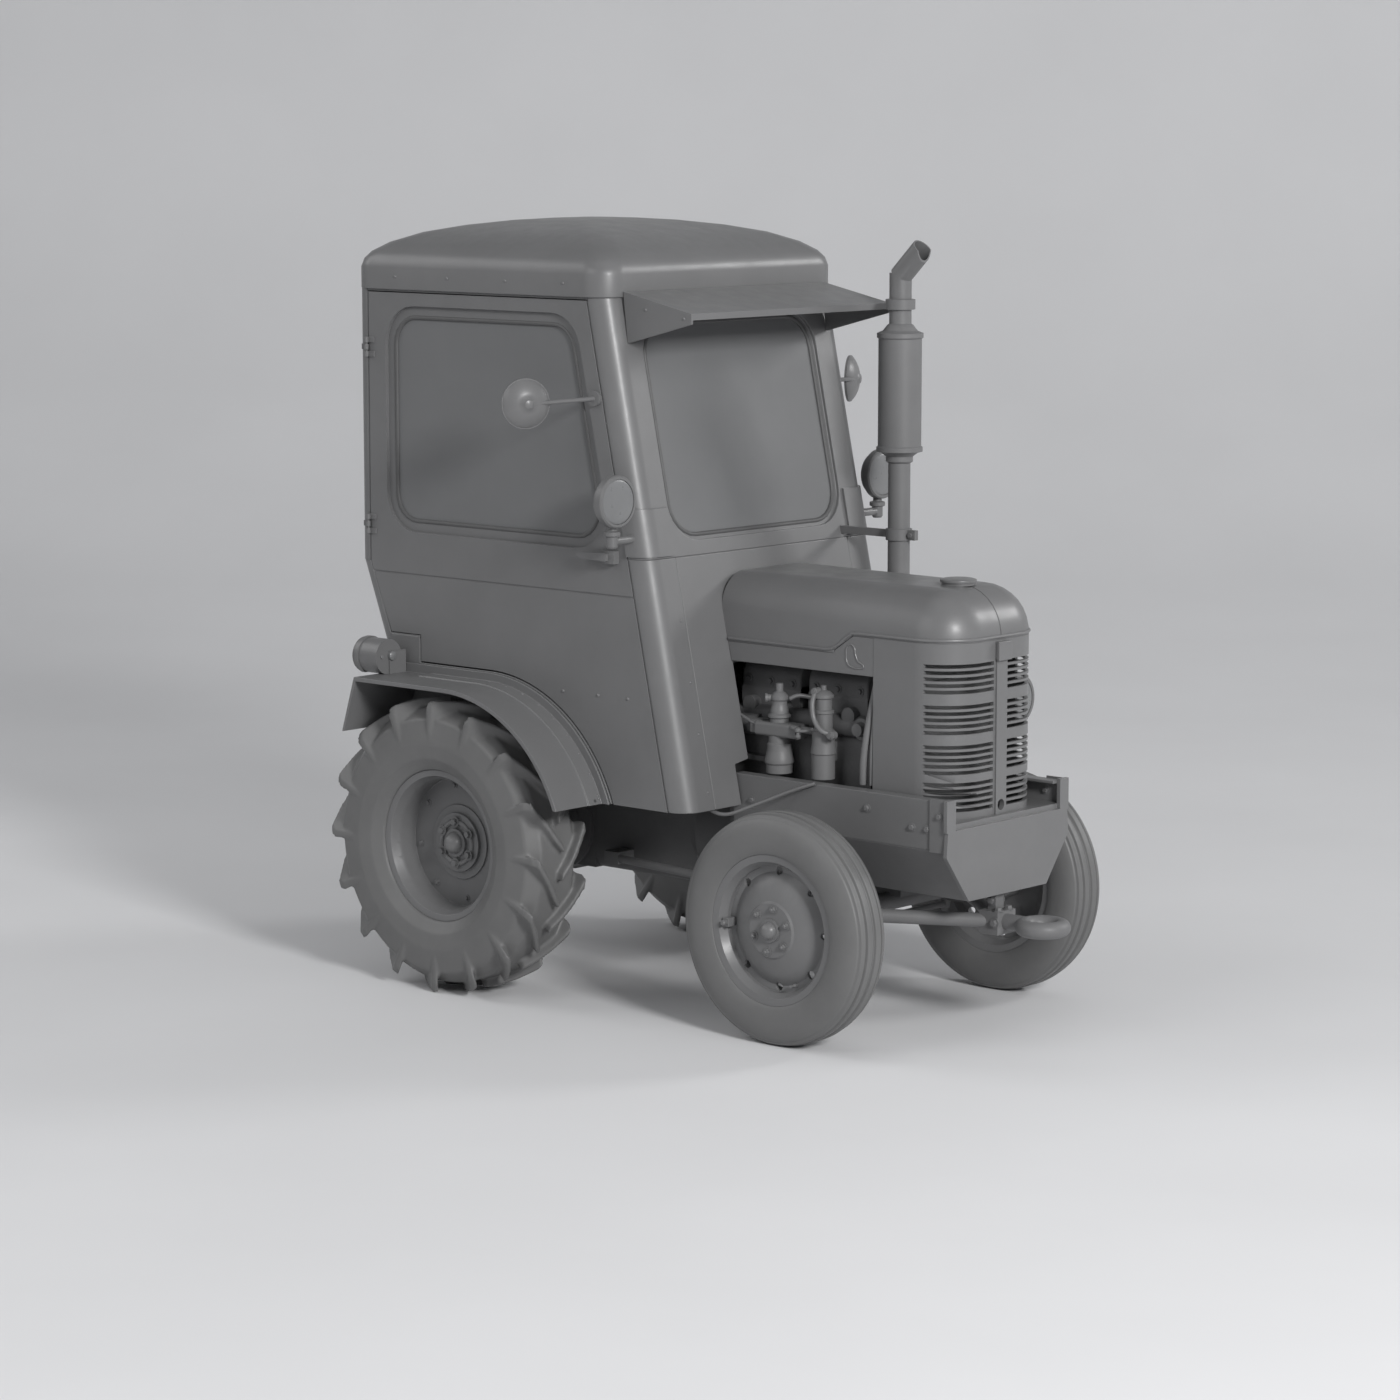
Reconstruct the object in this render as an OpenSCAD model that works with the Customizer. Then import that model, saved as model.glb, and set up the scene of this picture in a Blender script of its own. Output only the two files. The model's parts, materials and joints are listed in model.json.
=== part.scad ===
// Farm tractor with a closed cab: swept bonnet, slatted nose, channel front frame,
// lugged rear tyres and ribbed front tyres. Millimetres, +X forward, +Y left, +Z up.
// Stations along X are counted from the rear axle; place() then centres the length on the origin.

/* [Wheels] */
// Distance between the front and rear axles
wheelbase = 1310; // [1250:5:1400]
// Outer diameter of the rear tyre over the lugs
rear_tyre_d = 960; // [940:5:970]
// Section width of the rear tyre
rear_tyre_w = 244; // [220:2:250]
// Distance between the rear tyre centres
rear_track = 1270; // [1264:2:1290]
// Diameter of the rear rim over its lips
rear_rim_d = 492; // [470:2:520]
// Lugs on each side of a rear tyre
lug_count = 16; // [12:1:20]
// Height of a lug above the tread
lug_h = 32; // [20:1:36]
// Outer diameter of the front tyre
front_tyre_d = 720; // [700:5:730]
// Section width of the front tyre
front_tyre_w = 156; // [140:2:160]
// Distance between the front tyre centres
front_track = 1090; // [1080:2:1110]
// Diameter of the front rim over its lips
front_rim_d = 466; // [440:2:480]
// Distance between the steering kingpins
kingpin_track = 890; // [880:2:896]

/* [Cab] */
// Width of the cab over its doors
cab_w = 1120; // [1100:2:1130]
// Thickness of the cab walls and doors
cab_wall = 30; // [24:1:36]
// Height of the roof rim's lower edge
roof_rim_z = 2250; // [2200:5:2300]
// Height of the roof crown
roof_top_z = 2476; // [2440:2:2500]
// Height of the seam under the windscreen
belt_z = 1444; // [1430:2:1460]
// Station of the cab's front face at the seam
belt_x = 757; // [750:1:765]
// Backward lean of the cab's front face in degrees
front_lean = 12.1; // [11:0.1:13]
// Station of the cab's rear face
cab_rear_x = -530; // [-540:1:-520]
// Height of the cab's lower edge
cab_sill_z = 664; // [660:1:680]
// Running gap round a door
door_gap = 6; // [5:0.5:8]

/* [Bonnet] */
// Half width of the bonnet and nose
hood_half_w = 240; // [230:1:245]
// Height of the bonnet's top
hood_top_z = 1385; // [1370:1:1400]
// Station of the nose's front face
nose_x = 1715; // [1705:1:1720]
// Sheet thickness of the bonnet and nose
hood_sheet = 12; // [8:1:14]
// Height of a bar in the nose grille
bar_h = 8; // [6:0.5:10]

/* [Front frame] */
// Half width over the frame rails
rail_half_w = 290; // [280:1:295]
// Height of the rails' upper edge
rail_top_z = 762; // [750:1:770]
// Height of the rails' lower edge
rail_low_z = 608; // [600:1:615]
// Height of the belly pan's floor
belly_z = 447; // [440:1:455]
// Station of the front plate's outer face
plate_x = 1752; // [1745:1:1765]

/* [Steering] */
// Length of the steering arms behind the kingpins
steer_arm = 150; // [130:1:160]
// Running clearance of a shaft in its bore
run_fit = 0.05; // [0.02:0.01:0.1]

/* [Hidden] */
$fn = 64;
seat_gap = 0.3;                 // clearance of a pane or soft piece in its seat

rear_r = rear_tyre_d / 2;
front_r = front_tyre_d / 2;
kingpin_y = kingpin_track / 2;
cab_half = cab_w / 2;
front_corner_r = 70;            // rounding of the cab's front corners
rear_corner_r = 60;             // rounding of the cab's rear corners
panel_split_y = 420;            // seam between a corner panel and the bulkhead

tow_ring_x = plate_x + 134;     // centre of the towing ring
tow_ring_r = 60;                // middle radius of the towing ring
tow_bar_r = 26;                 // radius of the ring's bar
plate_t = 14;                   // thickness of the front plate
shelf_z = 690;                  // top of the shelf that carries the nose
drawbar_reach = 640;            // how far the drawbar reaches behind the rear axle

front_reach = tow_ring_x + tow_ring_r + tow_bar_r;
mid_x = (front_reach - drawbar_reach) / 2;

module place() {
    translate([-mid_x, 0, 0]) children();
}
module both() {
    children();
    mirror([0, 1, 0]) children();
}
// Extrudes a profile drawn in X and Z sideways from y0 to y1
module across(y0, y1) {
    translate([0, y1, 0]) rotate([90, 0, 0]) linear_extrude(y1 - y0) children();
}
// Extrudes a profile drawn in Y and Z forward from x0 to x1
module along(x0, x1) {
    translate([x0, 0, 0]) rotate([90, 0, 90]) linear_extrude(x1 - x0) children();
}
// A cylinder from point a to point b
module bar(a, b, r) {
    d = b - a;
    translate(a) rotate([0, acos(d.z / norm(d)), atan2(d.y, d.x)]) cylinder(h = norm(d), r = r);
}
// A polygon's corner at b, rounded to radius r, as points on the arc
function corner(a, b, c, r, n) =
    let (u = (a - b) / norm(a - b), v = (c - b) / norm(c - b),
         half = acos(u * v) / 2, m = (u + v) / norm(u + v),
         centre = b + m * r / sin(half),
         s = atan2(-m.y, -m.x), turn = (90 - half) * sign(u.x * v.y - u.y * v.x))
    [for (i = [0:n]) centre + r * [cos(s + turn * (1 - 2 * i / n)), sin(s + turn * (1 - 2 * i / n))]];
function rounded(p, r, n = 6) =
    [for (i = [0:len(p) - 1])
        each corner(p[(i + len(p) - 1) % len(p)], p[i], p[(i + 1) % len(p)], r, n)];
// The same outline moved inwards by d, for a convex outline in anticlockwise order
function inset(p, d) =
    [for (i = [0:len(p) - 1])
        let (a = p[(i + len(p) - 1) % len(p)], b = p[i], c = p[(i + 1) % len(p)],
             u = (b - a) / norm(b - a), v = (c - b) / norm(c - b),
             nu = [-u.y, u.x], nv = [-v.y, v.x])
        b + (nu + nv) * d / (1 + nu * nv)];

// Cab stations

function front_x(z) = belt_x + (belt_z - z) * tan(front_lean);
function door_front_x(z) = front_x(z) - (front_corner_r + door_gap) / cos(front_lean);
door_rear_x = cab_rear_x + rear_corner_r + door_gap;
rear_kink_z = 1358;             // where the rear wall starts to slope forward
rear_lean = 21;                 // slope of the lower rear wall in degrees
function rear_x(z) = cab_rear_x + max(0, rear_kink_z - z) * tan(rear_lean);
floor_z = 690;                  // underside of the cab floor, on the gearbox
floor_t = 25;

// Fender outline: flat over the wheel, then an arc down to the sill
fender_top_z = 1005;
fender_arc_x = 80;
fender_arc_r = 535;
fender_arc_z = fender_top_z - fender_arc_r;
fender_rear_x = -325;
fender_sheet = 8;
fender_outer_y = rear_track / 2 + 145;
fender_inner_y = rear_track / 2 - 148;
flange_h = 30;                  // upright flange between the fender and the door
door_lift = flange_h + 8;       // door edge above the fender

module fender_outline(d) {
    translate([fender_arc_x, fender_arc_z]) circle(fender_arc_r + d, $fn = 96);
    translate([-900, 0]) square([900 + fender_arc_x, fender_top_z + d]);
}
// Plan of a wall with rounded corners at x = 0, open at the back
module corner_plan(depth, half_w, r) {
    if (depth > r) translate([-depth, -half_w]) square([depth - r, 2 * half_w]);
    translate([-r - 1, -(half_w - r)]) square([r + 1, 2 * (half_w - r)]);
    for (s = [-1, 1]) translate([-r, s * (half_w - r)]) circle(r);
}
module wall_plan(r) {
    difference() {
        corner_plan(r, cab_half, r);
        translate([-cab_wall, 0]) corner_plan(r, cab_half - cab_wall, r - cab_wall);
        translate([-2 * r - 1, -cab_half]) square([r + 1, cab_w]);
    }
}
module level(z0, z1) {
    intersection() {
        children();
        translate([-2000, -1000, z0]) cube([4000, 2000, z1 - z0]);
    }
}
// Local frame of the leaning front face: x = 0 on the face, z up along it
module on_front() {
    translate([front_x(0), 0, 0]) rotate([0, -front_lean, 0]) children();
}
module front_wall(z0, z1) {
    level(z0, z1) on_front() linear_extrude(2600) wall_plan(front_corner_r);
}
// Cuts through the leaning front face along its normal, from a profile in Y and slope height
module front_cut(x0, x1) {
    on_front() along(x0, x1) children();
}

// Windscreen and window outlines

slope = 1 / cos(front_lean);
screen_pts = [[-400, 1508 * slope], [400, 1508 * slope], [400, 2165 * slope], [-400, 2165 * slope]];
screen_r = 105;
window_step = 36;               // width of the pressed step round a window
window_step_d = 12;             // depth of the pressed step
pane_t = 6;
function win_front_x(z) = door_front_x(z) - 95;
window_pts = [[-350, 1500], [win_front_x(1500), 1500], [win_front_x(2162), 2162], [-350, 2162]];
window_r = 90;
rear_pts = [[-400, 1500], [400, 1500], [400, 2150], [-400, 2150]];

module pane_hole(pts, r) {
    polygon(rounded(pts, r));
}

// Drive train

axle_pad_z = 335;               // underside of the drawbar pad
axle_end_y = rear_track / 2 - 105;  // end of the axle tube, inside the wheel's hub
gearbox_x = 160;
bell_x = 610;
engine_x = 760;
engine_end_x = 1340;
engine_half = 165;
module rear_axle() color("dimgray") {
    difference() {
        union() {
            translate([0, 0, rear_r]) rotate([90, 0, 0]) cylinder(h = 330, r = 150, center = true);
            translate([0, -150, 350]) cube([gearbox_x, 300, 300]);
            both() translate([0, -160, rear_r]) rotate([90, 0, 0])
                cylinder(h = axle_end_y - 160, r1 = 100, r2 = 62);
            both() translate([0, -axle_end_y + 10, rear_r]) rotate([90, 0, 0]) cylinder(h = 24, r = 84);
            translate([-200, 0, rear_r]) rotate([0, 90, 0]) cylinder(h = 120, r = 105);
            translate([-300, 0, rear_r + 30]) rotate([0, 90, 0]) cylinder(h = 120, r = 17.5);
            translate([-130, -60, axle_pad_z]) cube([90, 120, 80]);
        }
        both() translate([0, -axle_end_y - 20, rear_r]) rotate([-90, 0, 0])
            cylinder(h = 160, r = 30 + run_fit);
    }
}
module gearbox() color("dimgray") {
    along(gearbox_x, bell_x) polygon(rounded([[-150, 350], [150, 350], [150, floor_z], [-150, floor_z]], 40));
    translate([bell_x, 0, 520]) rotate([0, 90, 0]) cylinder(h = engine_x - bell_x, r = 166);
}
head_x = [790, 1065];           // rear faces of the cylinder heads
head_len = 240;
module engine() color("dimgray") {
    along(engine_x, engine_end_x)
        polygon(rounded(
            [[-engine_half, 470], [engine_half, 470], [engine_half, 900], [-engine_half, 900]], 35));
    for (x = head_x) {
        along(x, x + head_len) polygon(rounded([[-140, 890], [140, 890], [140, 1029], [-140, 1029]], 18));
        along(x + 15, x + head_len - 15)
            polygon(rounded([[-110, 1010], [110, 1010], [110, 1090], [-110, 1090]], 28));
        for (k = [55, 185]) translate([x + k, -120, 965]) rotate([90, 0, 0]) cylinder(h = 50, r = 26);
    }
    translate([engine_x + 34, -engine_half - 12, 905]) rotate([0, 90, 0]) cylinder(h = 108, r = 34);
    translate([engine_x + 20, -engine_half - 24, 790]) cube([170, 60, 16]);
    for (x = [900, 1230], s = [-1, 1])
        translate([x, s * 215 - 63, rail_low_z + 10]) cube([60, 126, 36]);
}
module radiator() color("dimgray") {
    translate([1470, -190, shelf_z]) cube([70, 380, 1180 - shelf_z]);
    translate([1440, -205, 1100]) cube([120, 410, 80]);
    translate([1540, 0, hood_top_z + seat_gap]) cylinder(h = 16, r = 46);
}
pump_y = -215;
pump_x = [1010, 1190];
pump_foot_z = 768;
// Columns of the pump set: radius and height above the foot
fuel_column = [
    [0, 0], [42, 0], [42, 26], [46, 32], [46, 40], [38, 74], [38, 92], [34, 96], [34, 118], [29, 120],
    [29, 172], [36, 176], [36, 184], [29, 188], [29, 196], [24, 216], [24, 226], [28, 232], [28, 242],
    [20, 252], [12, 258], [12, 282], [0, 284]];
filter_column = [
    [0, 0], [37, 0], [37, 76], [40, 80], [36, 112], [36, 150], [29, 156], [29, 204], [33, 206], [33, 214],
    [27, 218], [27, 250], [32, 254], [32, 264], [20, 274], [9, 278], [9, 292], [0, 294]];
module pump_set() color("gray") {
    translate([pump_x[0], pump_y, pump_foot_z]) rotate_extrude() polygon(fuel_column);
    translate([pump_x[1], pump_y, pump_foot_z]) rotate_extrude() polygon(filter_column);
    along(pump_x[0] - 70, pump_x[0] + 96) translate([pump_y, 0]) polygon(rounded(
        [[-36, 884], [30, 884], [30, 928], [-36, 928]], 10));
    translate([pump_x[0] - 98, pump_y - 26, 890]) cube([40, 50, 40]);
    translate([pump_x[0] + 90, pump_y, 912]) rotate([0, 90, 0])
        cylinder(h = pump_x[1] - pump_x[0] - 90, r = 11);
    for (x = pump_x) translate([x - 15, pump_y, 820]) cube([30, -pump_y - engine_half, 60]);
}

// Front frame

rail_x = 885;                   // rear end of the rails
rail_flange = 46;
rail_web = 10;
module frame_rails() color("gray") both() {
    difference() {
        translate([rail_x, -rail_half_w, rail_low_z])
            cube([plate_x - plate_t - rail_x, rail_flange, rail_top_z - rail_low_z]);
        translate([rail_x - 50, -rail_half_w + rail_web, rail_low_z + rail_web])
            cube([plate_x, rail_flange, rail_top_z - rail_low_z - 2 * rail_web]);
    }
}
belly_half = 195;               // half width of the belly pan's floor
belly_sheet = 10;
module belly_outline() {
    polygon([
        [-rail_half_w, rail_low_z], [-belly_half, belly_z], [belly_half, belly_z],
        [rail_half_w, rail_low_z]]);
}
module belly_pan() color("dimgray") difference() {
    along(rail_x + 5, plate_x - plate_t) belly_outline();
    translate([0, 0, belly_sheet]) along(rail_x - 5, plate_x) belly_outline();
}
shelf_x = engine_end_x + 60;    // rear edge of the shelf behind the front plate
shelf_t = 16;
splice_t = 6;                   // angle plates that join the front plate to the rails
splice_len = 76;
module front_plate() color("gray") {
    half = rail_half_w + 16;
    along(plate_x - plate_t, plate_x) polygon([
        [-belly_half, belly_z], [belly_half, belly_z], [half, 594], [half - 6, shelf_z - shelf_t],
        [6 - half, shelf_z - shelf_t], [-half, 594]]);
    both() translate([plate_x - plate_t, -half, shelf_z - 20])
        cube([plate_t, 44, rail_top_z + 26 - shelf_z]);
    both() translate([plate_x - splice_len, -rail_half_w - splice_t, rail_low_z - 4])
        cube([splice_len - 2, splice_t, rail_top_z - rail_low_z + 10]);
    translate([shelf_x, -rail_half_w + 10, shelf_z - shelf_t])
        cube([plate_x - plate_t - shelf_x, 2 * rail_half_w - 20, shelf_t]);
    translate([plate_x - plate_t - 10, -262, shelf_z - 50]) cube([12, 524, 50]);
}
axle_z = 370;                   // height of the front axle tube
axle_r = 30;
stay_y = 215;                   // half spacing of the axle's stay rods
ear_x = wheelbase + axle_r + 14;    // front of the ears that hold the towing bars
stay_x = wheelbase - axle_r - 14;   // back of the ears that hold the stay rods
module axle_beam() color("dimgray") {
    difference() {
        union() {
            translate([wheelbase, 0, axle_z]) rotate([90, 0, 0])
                cylinder(h = 2 * kingpin_y - 40, r = axle_r, center = true);
            both() translate([wheelbase, -kingpin_y, 312]) cylinder(h = 116, r = 34);
            translate([wheelbase - 60, -50, axle_z + 20]) cube([120, 100, belly_z - axle_z - 20]);
            both() translate([wheelbase, -310, axle_z - 28]) cube([ear_x - wheelbase, 60, 56]);
            both() translate([stay_x, -stay_y - 20, axle_z - 20]) cube([wheelbase - stay_x, 40, 40]);
        }
        both() translate([wheelbase, -kingpin_y, 300]) cylinder(h = 140, r = 15 + run_fit);
    }
}
module stay_rods() color("gray") both() difference() {
    union() {
        bar([wheelbase - 20, -stay_y, axle_z], [300, -stay_y, 410], 13);
        translate([270, -stay_y - 13, 390]) cube([60, stay_y + 13 - 150, 40]);
    }
    translate([stay_x, -stay_y - 50, axle_z - 100]) cube([200, 100, 200]);
}
tow_z = 356;
module tow_frame() color("gray") {
    difference() {
        union() {
            both() bar([wheelbase + 10, -308, axle_z], [1700, -20, tow_z], 22);
            translate([1675, -45, tow_z - 38]) cube([72, 90, 72]);
            translate([1690, -20, tow_z + 30]) cube([30, 40, belly_z - tow_z - 30]);
            bar([1740, 0, tow_z], [tow_ring_x - tow_ring_r, 0, tow_z], 25);
            translate([tow_ring_x, 0, tow_z]) rotate_extrude() translate([tow_ring_r, 0]) circle(tow_bar_r);
        }
        translate([ear_x - 200, -500, 0]) cube([200, 1000, 600]);
    }
}
exhaust_at = [990, 400];
exhaust_r = 36;
exhaust_wall = 5;
exhaust_low_z = 975;            // elbow to the engine
silencer_r = 70;
silencer_z = [1738, 2118];
strap_z = 1470;                 // clamp that ties the pipe to the cab
clamp_z = 2210;                 // clamp of the outlet
elbow_z = 2300;
// Outside of the stack: radius and height
stack_profile = [
    [0, exhaust_low_z], [exhaust_r, exhaust_low_z], [exhaust_r, strap_z - 20], [exhaust_r + 7, strap_z - 18],
    [exhaust_r + 7, strap_z + 18], [exhaust_r, strap_z + 20], [exhaust_r, 1700], [exhaust_r + 8, 1706],
    [exhaust_r + 8, 1722], [silencer_r - 10, silencer_z[0] - 4], [silencer_r + 5, silencer_z[0]],
    [silencer_r + 5, silencer_z[0] + 14], [silencer_r, silencer_z[0] + 18], [silencer_r, silencer_z[1] - 18],
    [silencer_r + 5, silencer_z[1] - 14], [silencer_r + 5, silencer_z[1]],
    [silencer_r - 14, silencer_z[1] + 8],
    [exhaust_r + 6, silencer_z[1] + 26], [exhaust_r, silencer_z[1] + 30], [exhaust_r, clamp_z - 18],
    [exhaust_r + 12, clamp_z - 16], [exhaust_r + 12, clamp_z + 16], [exhaust_r, clamp_z + 18],
    [exhaust_r, elbow_z + 10], [0, elbow_z + 10]];
module stack_strap() difference() {
    across(exhaust_at.y - 8, exhaust_at.y + 8) translate([belt_x - 100, strap_z - 12])
        square([exhaust_at.x - 20 - belt_x + 100, 24]);
    behind_front();
}
module stack_pipe() translate([exhaust_at.x, exhaust_at.y, 0]) difference() {
    union() {
        rotate_extrude() polygon(stack_profile);
        bar([0, 0, elbow_z], [90, 0, elbow_z + 90], exhaust_r);
        translate([0, 0, exhaust_low_z]) sphere(exhaust_r);
        translate([0, 0, exhaust_low_z]) rotate([90, 0, 0]) cylinder(h = exhaust_at.y - 140, r = exhaust_r);
        translate([exhaust_r - 6, -9, strap_z - 16]) cube([42, 18, 32]);
    }
    bar([40, 0, elbow_z + 40], [140, 0, elbow_z + 140], exhaust_r - exhaust_wall);
    translate([96, -100, elbow_z - 100]) cube([100, 200, 300]);
}
module exhaust_stack() color("gray") {
    stack_pipe();
    stack_strap();
}

// Bonnet and nose

hood_low_z = 1170;              // lower edge of the bonnet beside the engine
hood_split_z = 1229;            // lower edge of the bonnet over the nose
nose_rear_x = 1408;
// Everything behind the cab's front face
module behind_front() {
    front_cut(-600, seat_gap) translate([-600, 0]) square([1200, 3000]);
}
module hood_form(d) {
    r = 150 - d;
    top = hood_top_z - d;
    w = hood_half_w - d;
    hull() {
        for (s = [-1, 1]) {
            translate([790, s * (w - 110), top - 110]) rotate([0, 90, 0]) cylinder(h = 10, r = 110, $fn = 32);
            translate([790, s * w - (s > 0 ? 10 : 0), hood_low_z]) cube([10, 10, 10]);
            translate([nose_x - d - r, s * (w - r), top - r]) sphere(r, $fn = 32);
            translate([nose_x - d - r, s * (w - r), hood_low_z]) cylinder(h = 20, r = r, $fn = 32);
        }
    }
}
module hood() color("gray") {
    difference() {
        hood_form(0);
        translate([-10, 0, -1]) hood_form(hood_sheet);
        across(-400, 400) polygon([
            [700, 1000], [700, hood_low_z], [1250, hood_low_z], [1250, hood_low_z + 8], [1325, hood_split_z],
            [1900, hood_split_z], [1900, 1000]]);
        behind_front();
    }
}
module hood_strips() color("gray") difference() {
    both() across(-hood_half_w + 1, -hood_half_w + 11) polygon([
        [780, 1108], [nose_rear_x - seat_gap, 1108], [nose_rear_x - seat_gap, hood_split_z - seat_gap],
        [1326, hood_split_z - seat_gap], [1251, hood_low_z + 8 - seat_gap], [1251, hood_low_z - seat_gap],
        [780, hood_low_z - seat_gap]]);
    behind_front();
}
module nose_plan(d) {
    r = 150 - d;
    translate([nose_x - d, 0]) corner_plan(nose_x - d - nose_rear_x, hood_half_w - d, r);
}
grille_bands = [712, 827, 950, 1075];   // lower edge of each grille band
band_h = 90;
bars = 4;
grille_x = 1600;                // rear end of the grille slots
strip_half = 26;                // half width of the nose's middle strip
strip_t = 6;
crank_z = shelf_z + 28;         // hole for the starting crank
crank_r = 17;
module nose_cowl() color("gray") {
    slot_h = (band_h - bars * bar_h) / (bars + 1);
    difference() {
        translate([0, 0, shelf_z]) linear_extrude(hood_split_z - seat_gap - shelf_z) difference() {
            nose_plan(0);
            nose_plan(hood_sheet);
            translate([1300, -hood_half_w + hood_sheet]) square([200, 2 * (hood_half_w - hood_sheet)]);
        }
        for (z = grille_bands, i = [0:bars], s = [0, 1])
            mirror([0, s, 0]) translate([grille_x, strip_half + 8, z + i * (slot_h + bar_h)])
                cube([300, 400, slot_h]);
        translate([nose_x - 50, 0, crank_z]) rotate([0, 90, 0]) cylinder(h = 100, r = crank_r);
    }
    difference() {
        along(nose_x - 2, nose_x + strip_t) translate([-strip_half, shelf_z])
            square([2 * strip_half, hood_split_z - 20 - shelf_z]);
        translate([nose_x - 50, 0, crank_z]) rotate([0, 90, 0]) cylinder(h = 100, r = crank_r);
    }
    along(nose_x - 2, nose_x + 2 * strip_t) polygon(rounded(
        [[-30, hood_split_z - 60], [30, hood_split_z - 60], [30, hood_split_z - 4],
         [-30, hood_split_z - 4]], 5));
}

// Cab

module windscreen_frame() color("gray") difference() {
    front_wall(belt_z, roof_rim_z);
    front_cut(-100, 50) pane_hole(screen_pts, screen_r);
    front_cut(-window_step_d, 50) pane_hole(inset(screen_pts, -window_step / 2), screen_r + window_step / 2);
}
module windscreen() color("lightgray")
    front_cut(-window_step_d - pane_t - 4, -window_step_d - 4)
        pane_hole(inset(screen_pts, seat_gap), screen_r);
module bulkhead() color("gray") difference() {
    intersection() {
        front_wall(cab_sill_z, belt_z);
        translate([0, -panel_split_y, 0]) cube([2000, 2 * panel_split_y, 2000]);
    }
    both() along(500, 1200) polygon([
        [-1, 600], [rail_half_w + 6, 600], [rail_half_w + 6, rail_top_z + 28], [230, rail_top_z + 38],
        [230, 1100], [-1, 1100]]);
}
module corner_panels() color("gray") both() intersection() {
    front_wall(cab_sill_z, belt_z);
    translate([0, -1000, 0]) cube([2000, 1000 - panel_split_y, 2000]);
}
module rear_plan() {
    mirror([1, 0, 0]) wall_plan(rear_corner_r);
}
quarter_z = 1130;               // top of the fixed quarter panel behind the door
quarter_x = -235;               // front of the fixed quarter panel
module quarter_outline() {
    rear_leg = rear_corner_r / cos(rear_lean);
    difference() {
        polygon([
            [rear_x(quarter_z - door_gap) + rear_leg, quarter_z - door_gap], [rear_x(900) + rear_leg, 900],
            [quarter_x - door_gap, 900], [quarter_x - door_gap, quarter_z - door_gap]]);
        fender_outline(seat_gap);
    }
}
module cab_rear() color("gray") {
    difference() {
        translate([cab_rear_x, 0, rear_kink_z]) linear_extrude(roof_rim_z - rear_kink_z) rear_plan();
        along(-700, -300) pane_hole(rear_pts, window_r);
        along(-700, cab_rear_x + window_step_d)
            pane_hole(inset(rear_pts, -window_step / 2), window_r + window_step / 2);
    }
    both() for (z = hinge_z) difference() {
        union() {
            translate([hinge_x, -hinge_y, z - 9]) cylinder(h = 18, r = hinge_r);
            translate([hinge_x - 26, -cab_half - 5, z - 9]) cube([26, 4, 18]);
            translate([hinge_x - 26, -cab_half - 5, z - 9]) cube([16, 20, 18]);
        }
        translate([hinge_x, -hinge_y, z - 10]) cylinder(h = 20, r = hinge_pin_r + run_fit);
    }
}
module cab_rear_lower() color("gray") difference() {
    union() {
        level(floor_z, rear_kink_z) translate([cab_rear_x, 0, rear_kink_z]) rotate([0, 180 - rear_lean, 0])
            mirror([1, 0, 0]) translate([0, 0, -100]) linear_extrude(1000) rear_plan();
        both() across(-cab_half, -cab_half + cab_wall) quarter_outline();
    }
    both() across(-1000, -fender_inner_y) fender_outline(seat_gap);
}
module rear_window() color("lightgray")
    along(cab_rear_x + window_step_d + 4, cab_rear_x + window_step_d + 4 + pane_t)
        pane_hole(inset(rear_pts, seat_gap), window_r);
// A body through stacked outlines, from the lowest up, with as many points in each
module loft(rings) {
    n = len(rings[0]);
    top = len(rings) - 1;
    polyhedron(
        points = [for (ring = rings) each ring],
        faces = concat(
            [[for (j = [0:n - 1]) j], [for (j = [0:n - 1]) top * n + n - 1 - j]],
            [for (i = [0:top - 1], j = [0:n - 1])
                let (a = i * n + j, b = i * n + (j + 1) % n) each [[a, a + n, b + n], [a, b + n, b]]]));
}
// Roof sections: height above the rim and inset from the rim
roof_rise = roof_top_z - roof_rim_z;
roof_sections = [
    [0, 0], [0.31, 0], [0.43, 8], [0.53, 26], [0.66, 70], [0.8, 150], [0.9, 250], [0.97, 360], [1, 450]];
roof_over = 10;                 // how far the roof stands over the walls
function roof_ring(k, d) =
    let (in = k.y + d, x0 = cab_rear_x - roof_over + in, x1 = front_x(roof_rim_z) + roof_over - in,
         w = cab_half + roof_over - in, r = max(60, 90 - 0.15 * k.y) - d)
    [for (p = rounded([[x0, -w], [x1, -w], [x1, w], [x0, w]], r))
        [p.x, p.y, roof_rim_z + k.x * roof_rise - d]];
module roof_form(d) {
    loft([for (k = roof_sections) roof_ring(k, d)]);
}
module roof() color("gray") difference() {
    roof_form(0);
    roof_form(cab_wall);
}
module sun_visor() color("gray") {
    sheet = 6;
    half = 484;
    back_z = roof_rim_z + 18;
    back_x = front_x(back_z) + 16;
    tip = [880, 2208];
    across(-half + sheet, half - sheet)
        polygon([
            [back_x, back_z], tip, tip - [2, 20], tip - [sheet, 20], tip - [sheet, sheet],
            [back_x, back_z - sheet]]);
    both() across(-half, -half + sheet + 2)
        polygon([[back_x, back_z], tip, tip - [0, 32], [front_x(2108) + seat_gap, 2108]]);
}
module cab_floor() color("dimgray") {
    wide_x = 606;
    translate([rear_x(floor_z) + cab_wall + 6, -fender_inner_y, floor_z])
        cube([wide_x + 10 - rear_x(floor_z) - cab_wall - 6, 2 * fender_inner_y, floor_t]);
    difference() {
        translate([wide_x, -cab_half + front_corner_r, floor_z])
            cube([front_x(floor_z) - wide_x - cab_wall - 20, cab_w - 2 * front_corner_r, floor_t]);
        translate([engine_x - 6, -engine_half - 12, floor_z - 10])
            cube([400, 2 * engine_half + 24, floor_t + 20]);
    }
}
fender_edge = 14;               // depth of the rolled outer edge
fender_strip_w = 66;            // width of the doubling strip beside the cab
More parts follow.
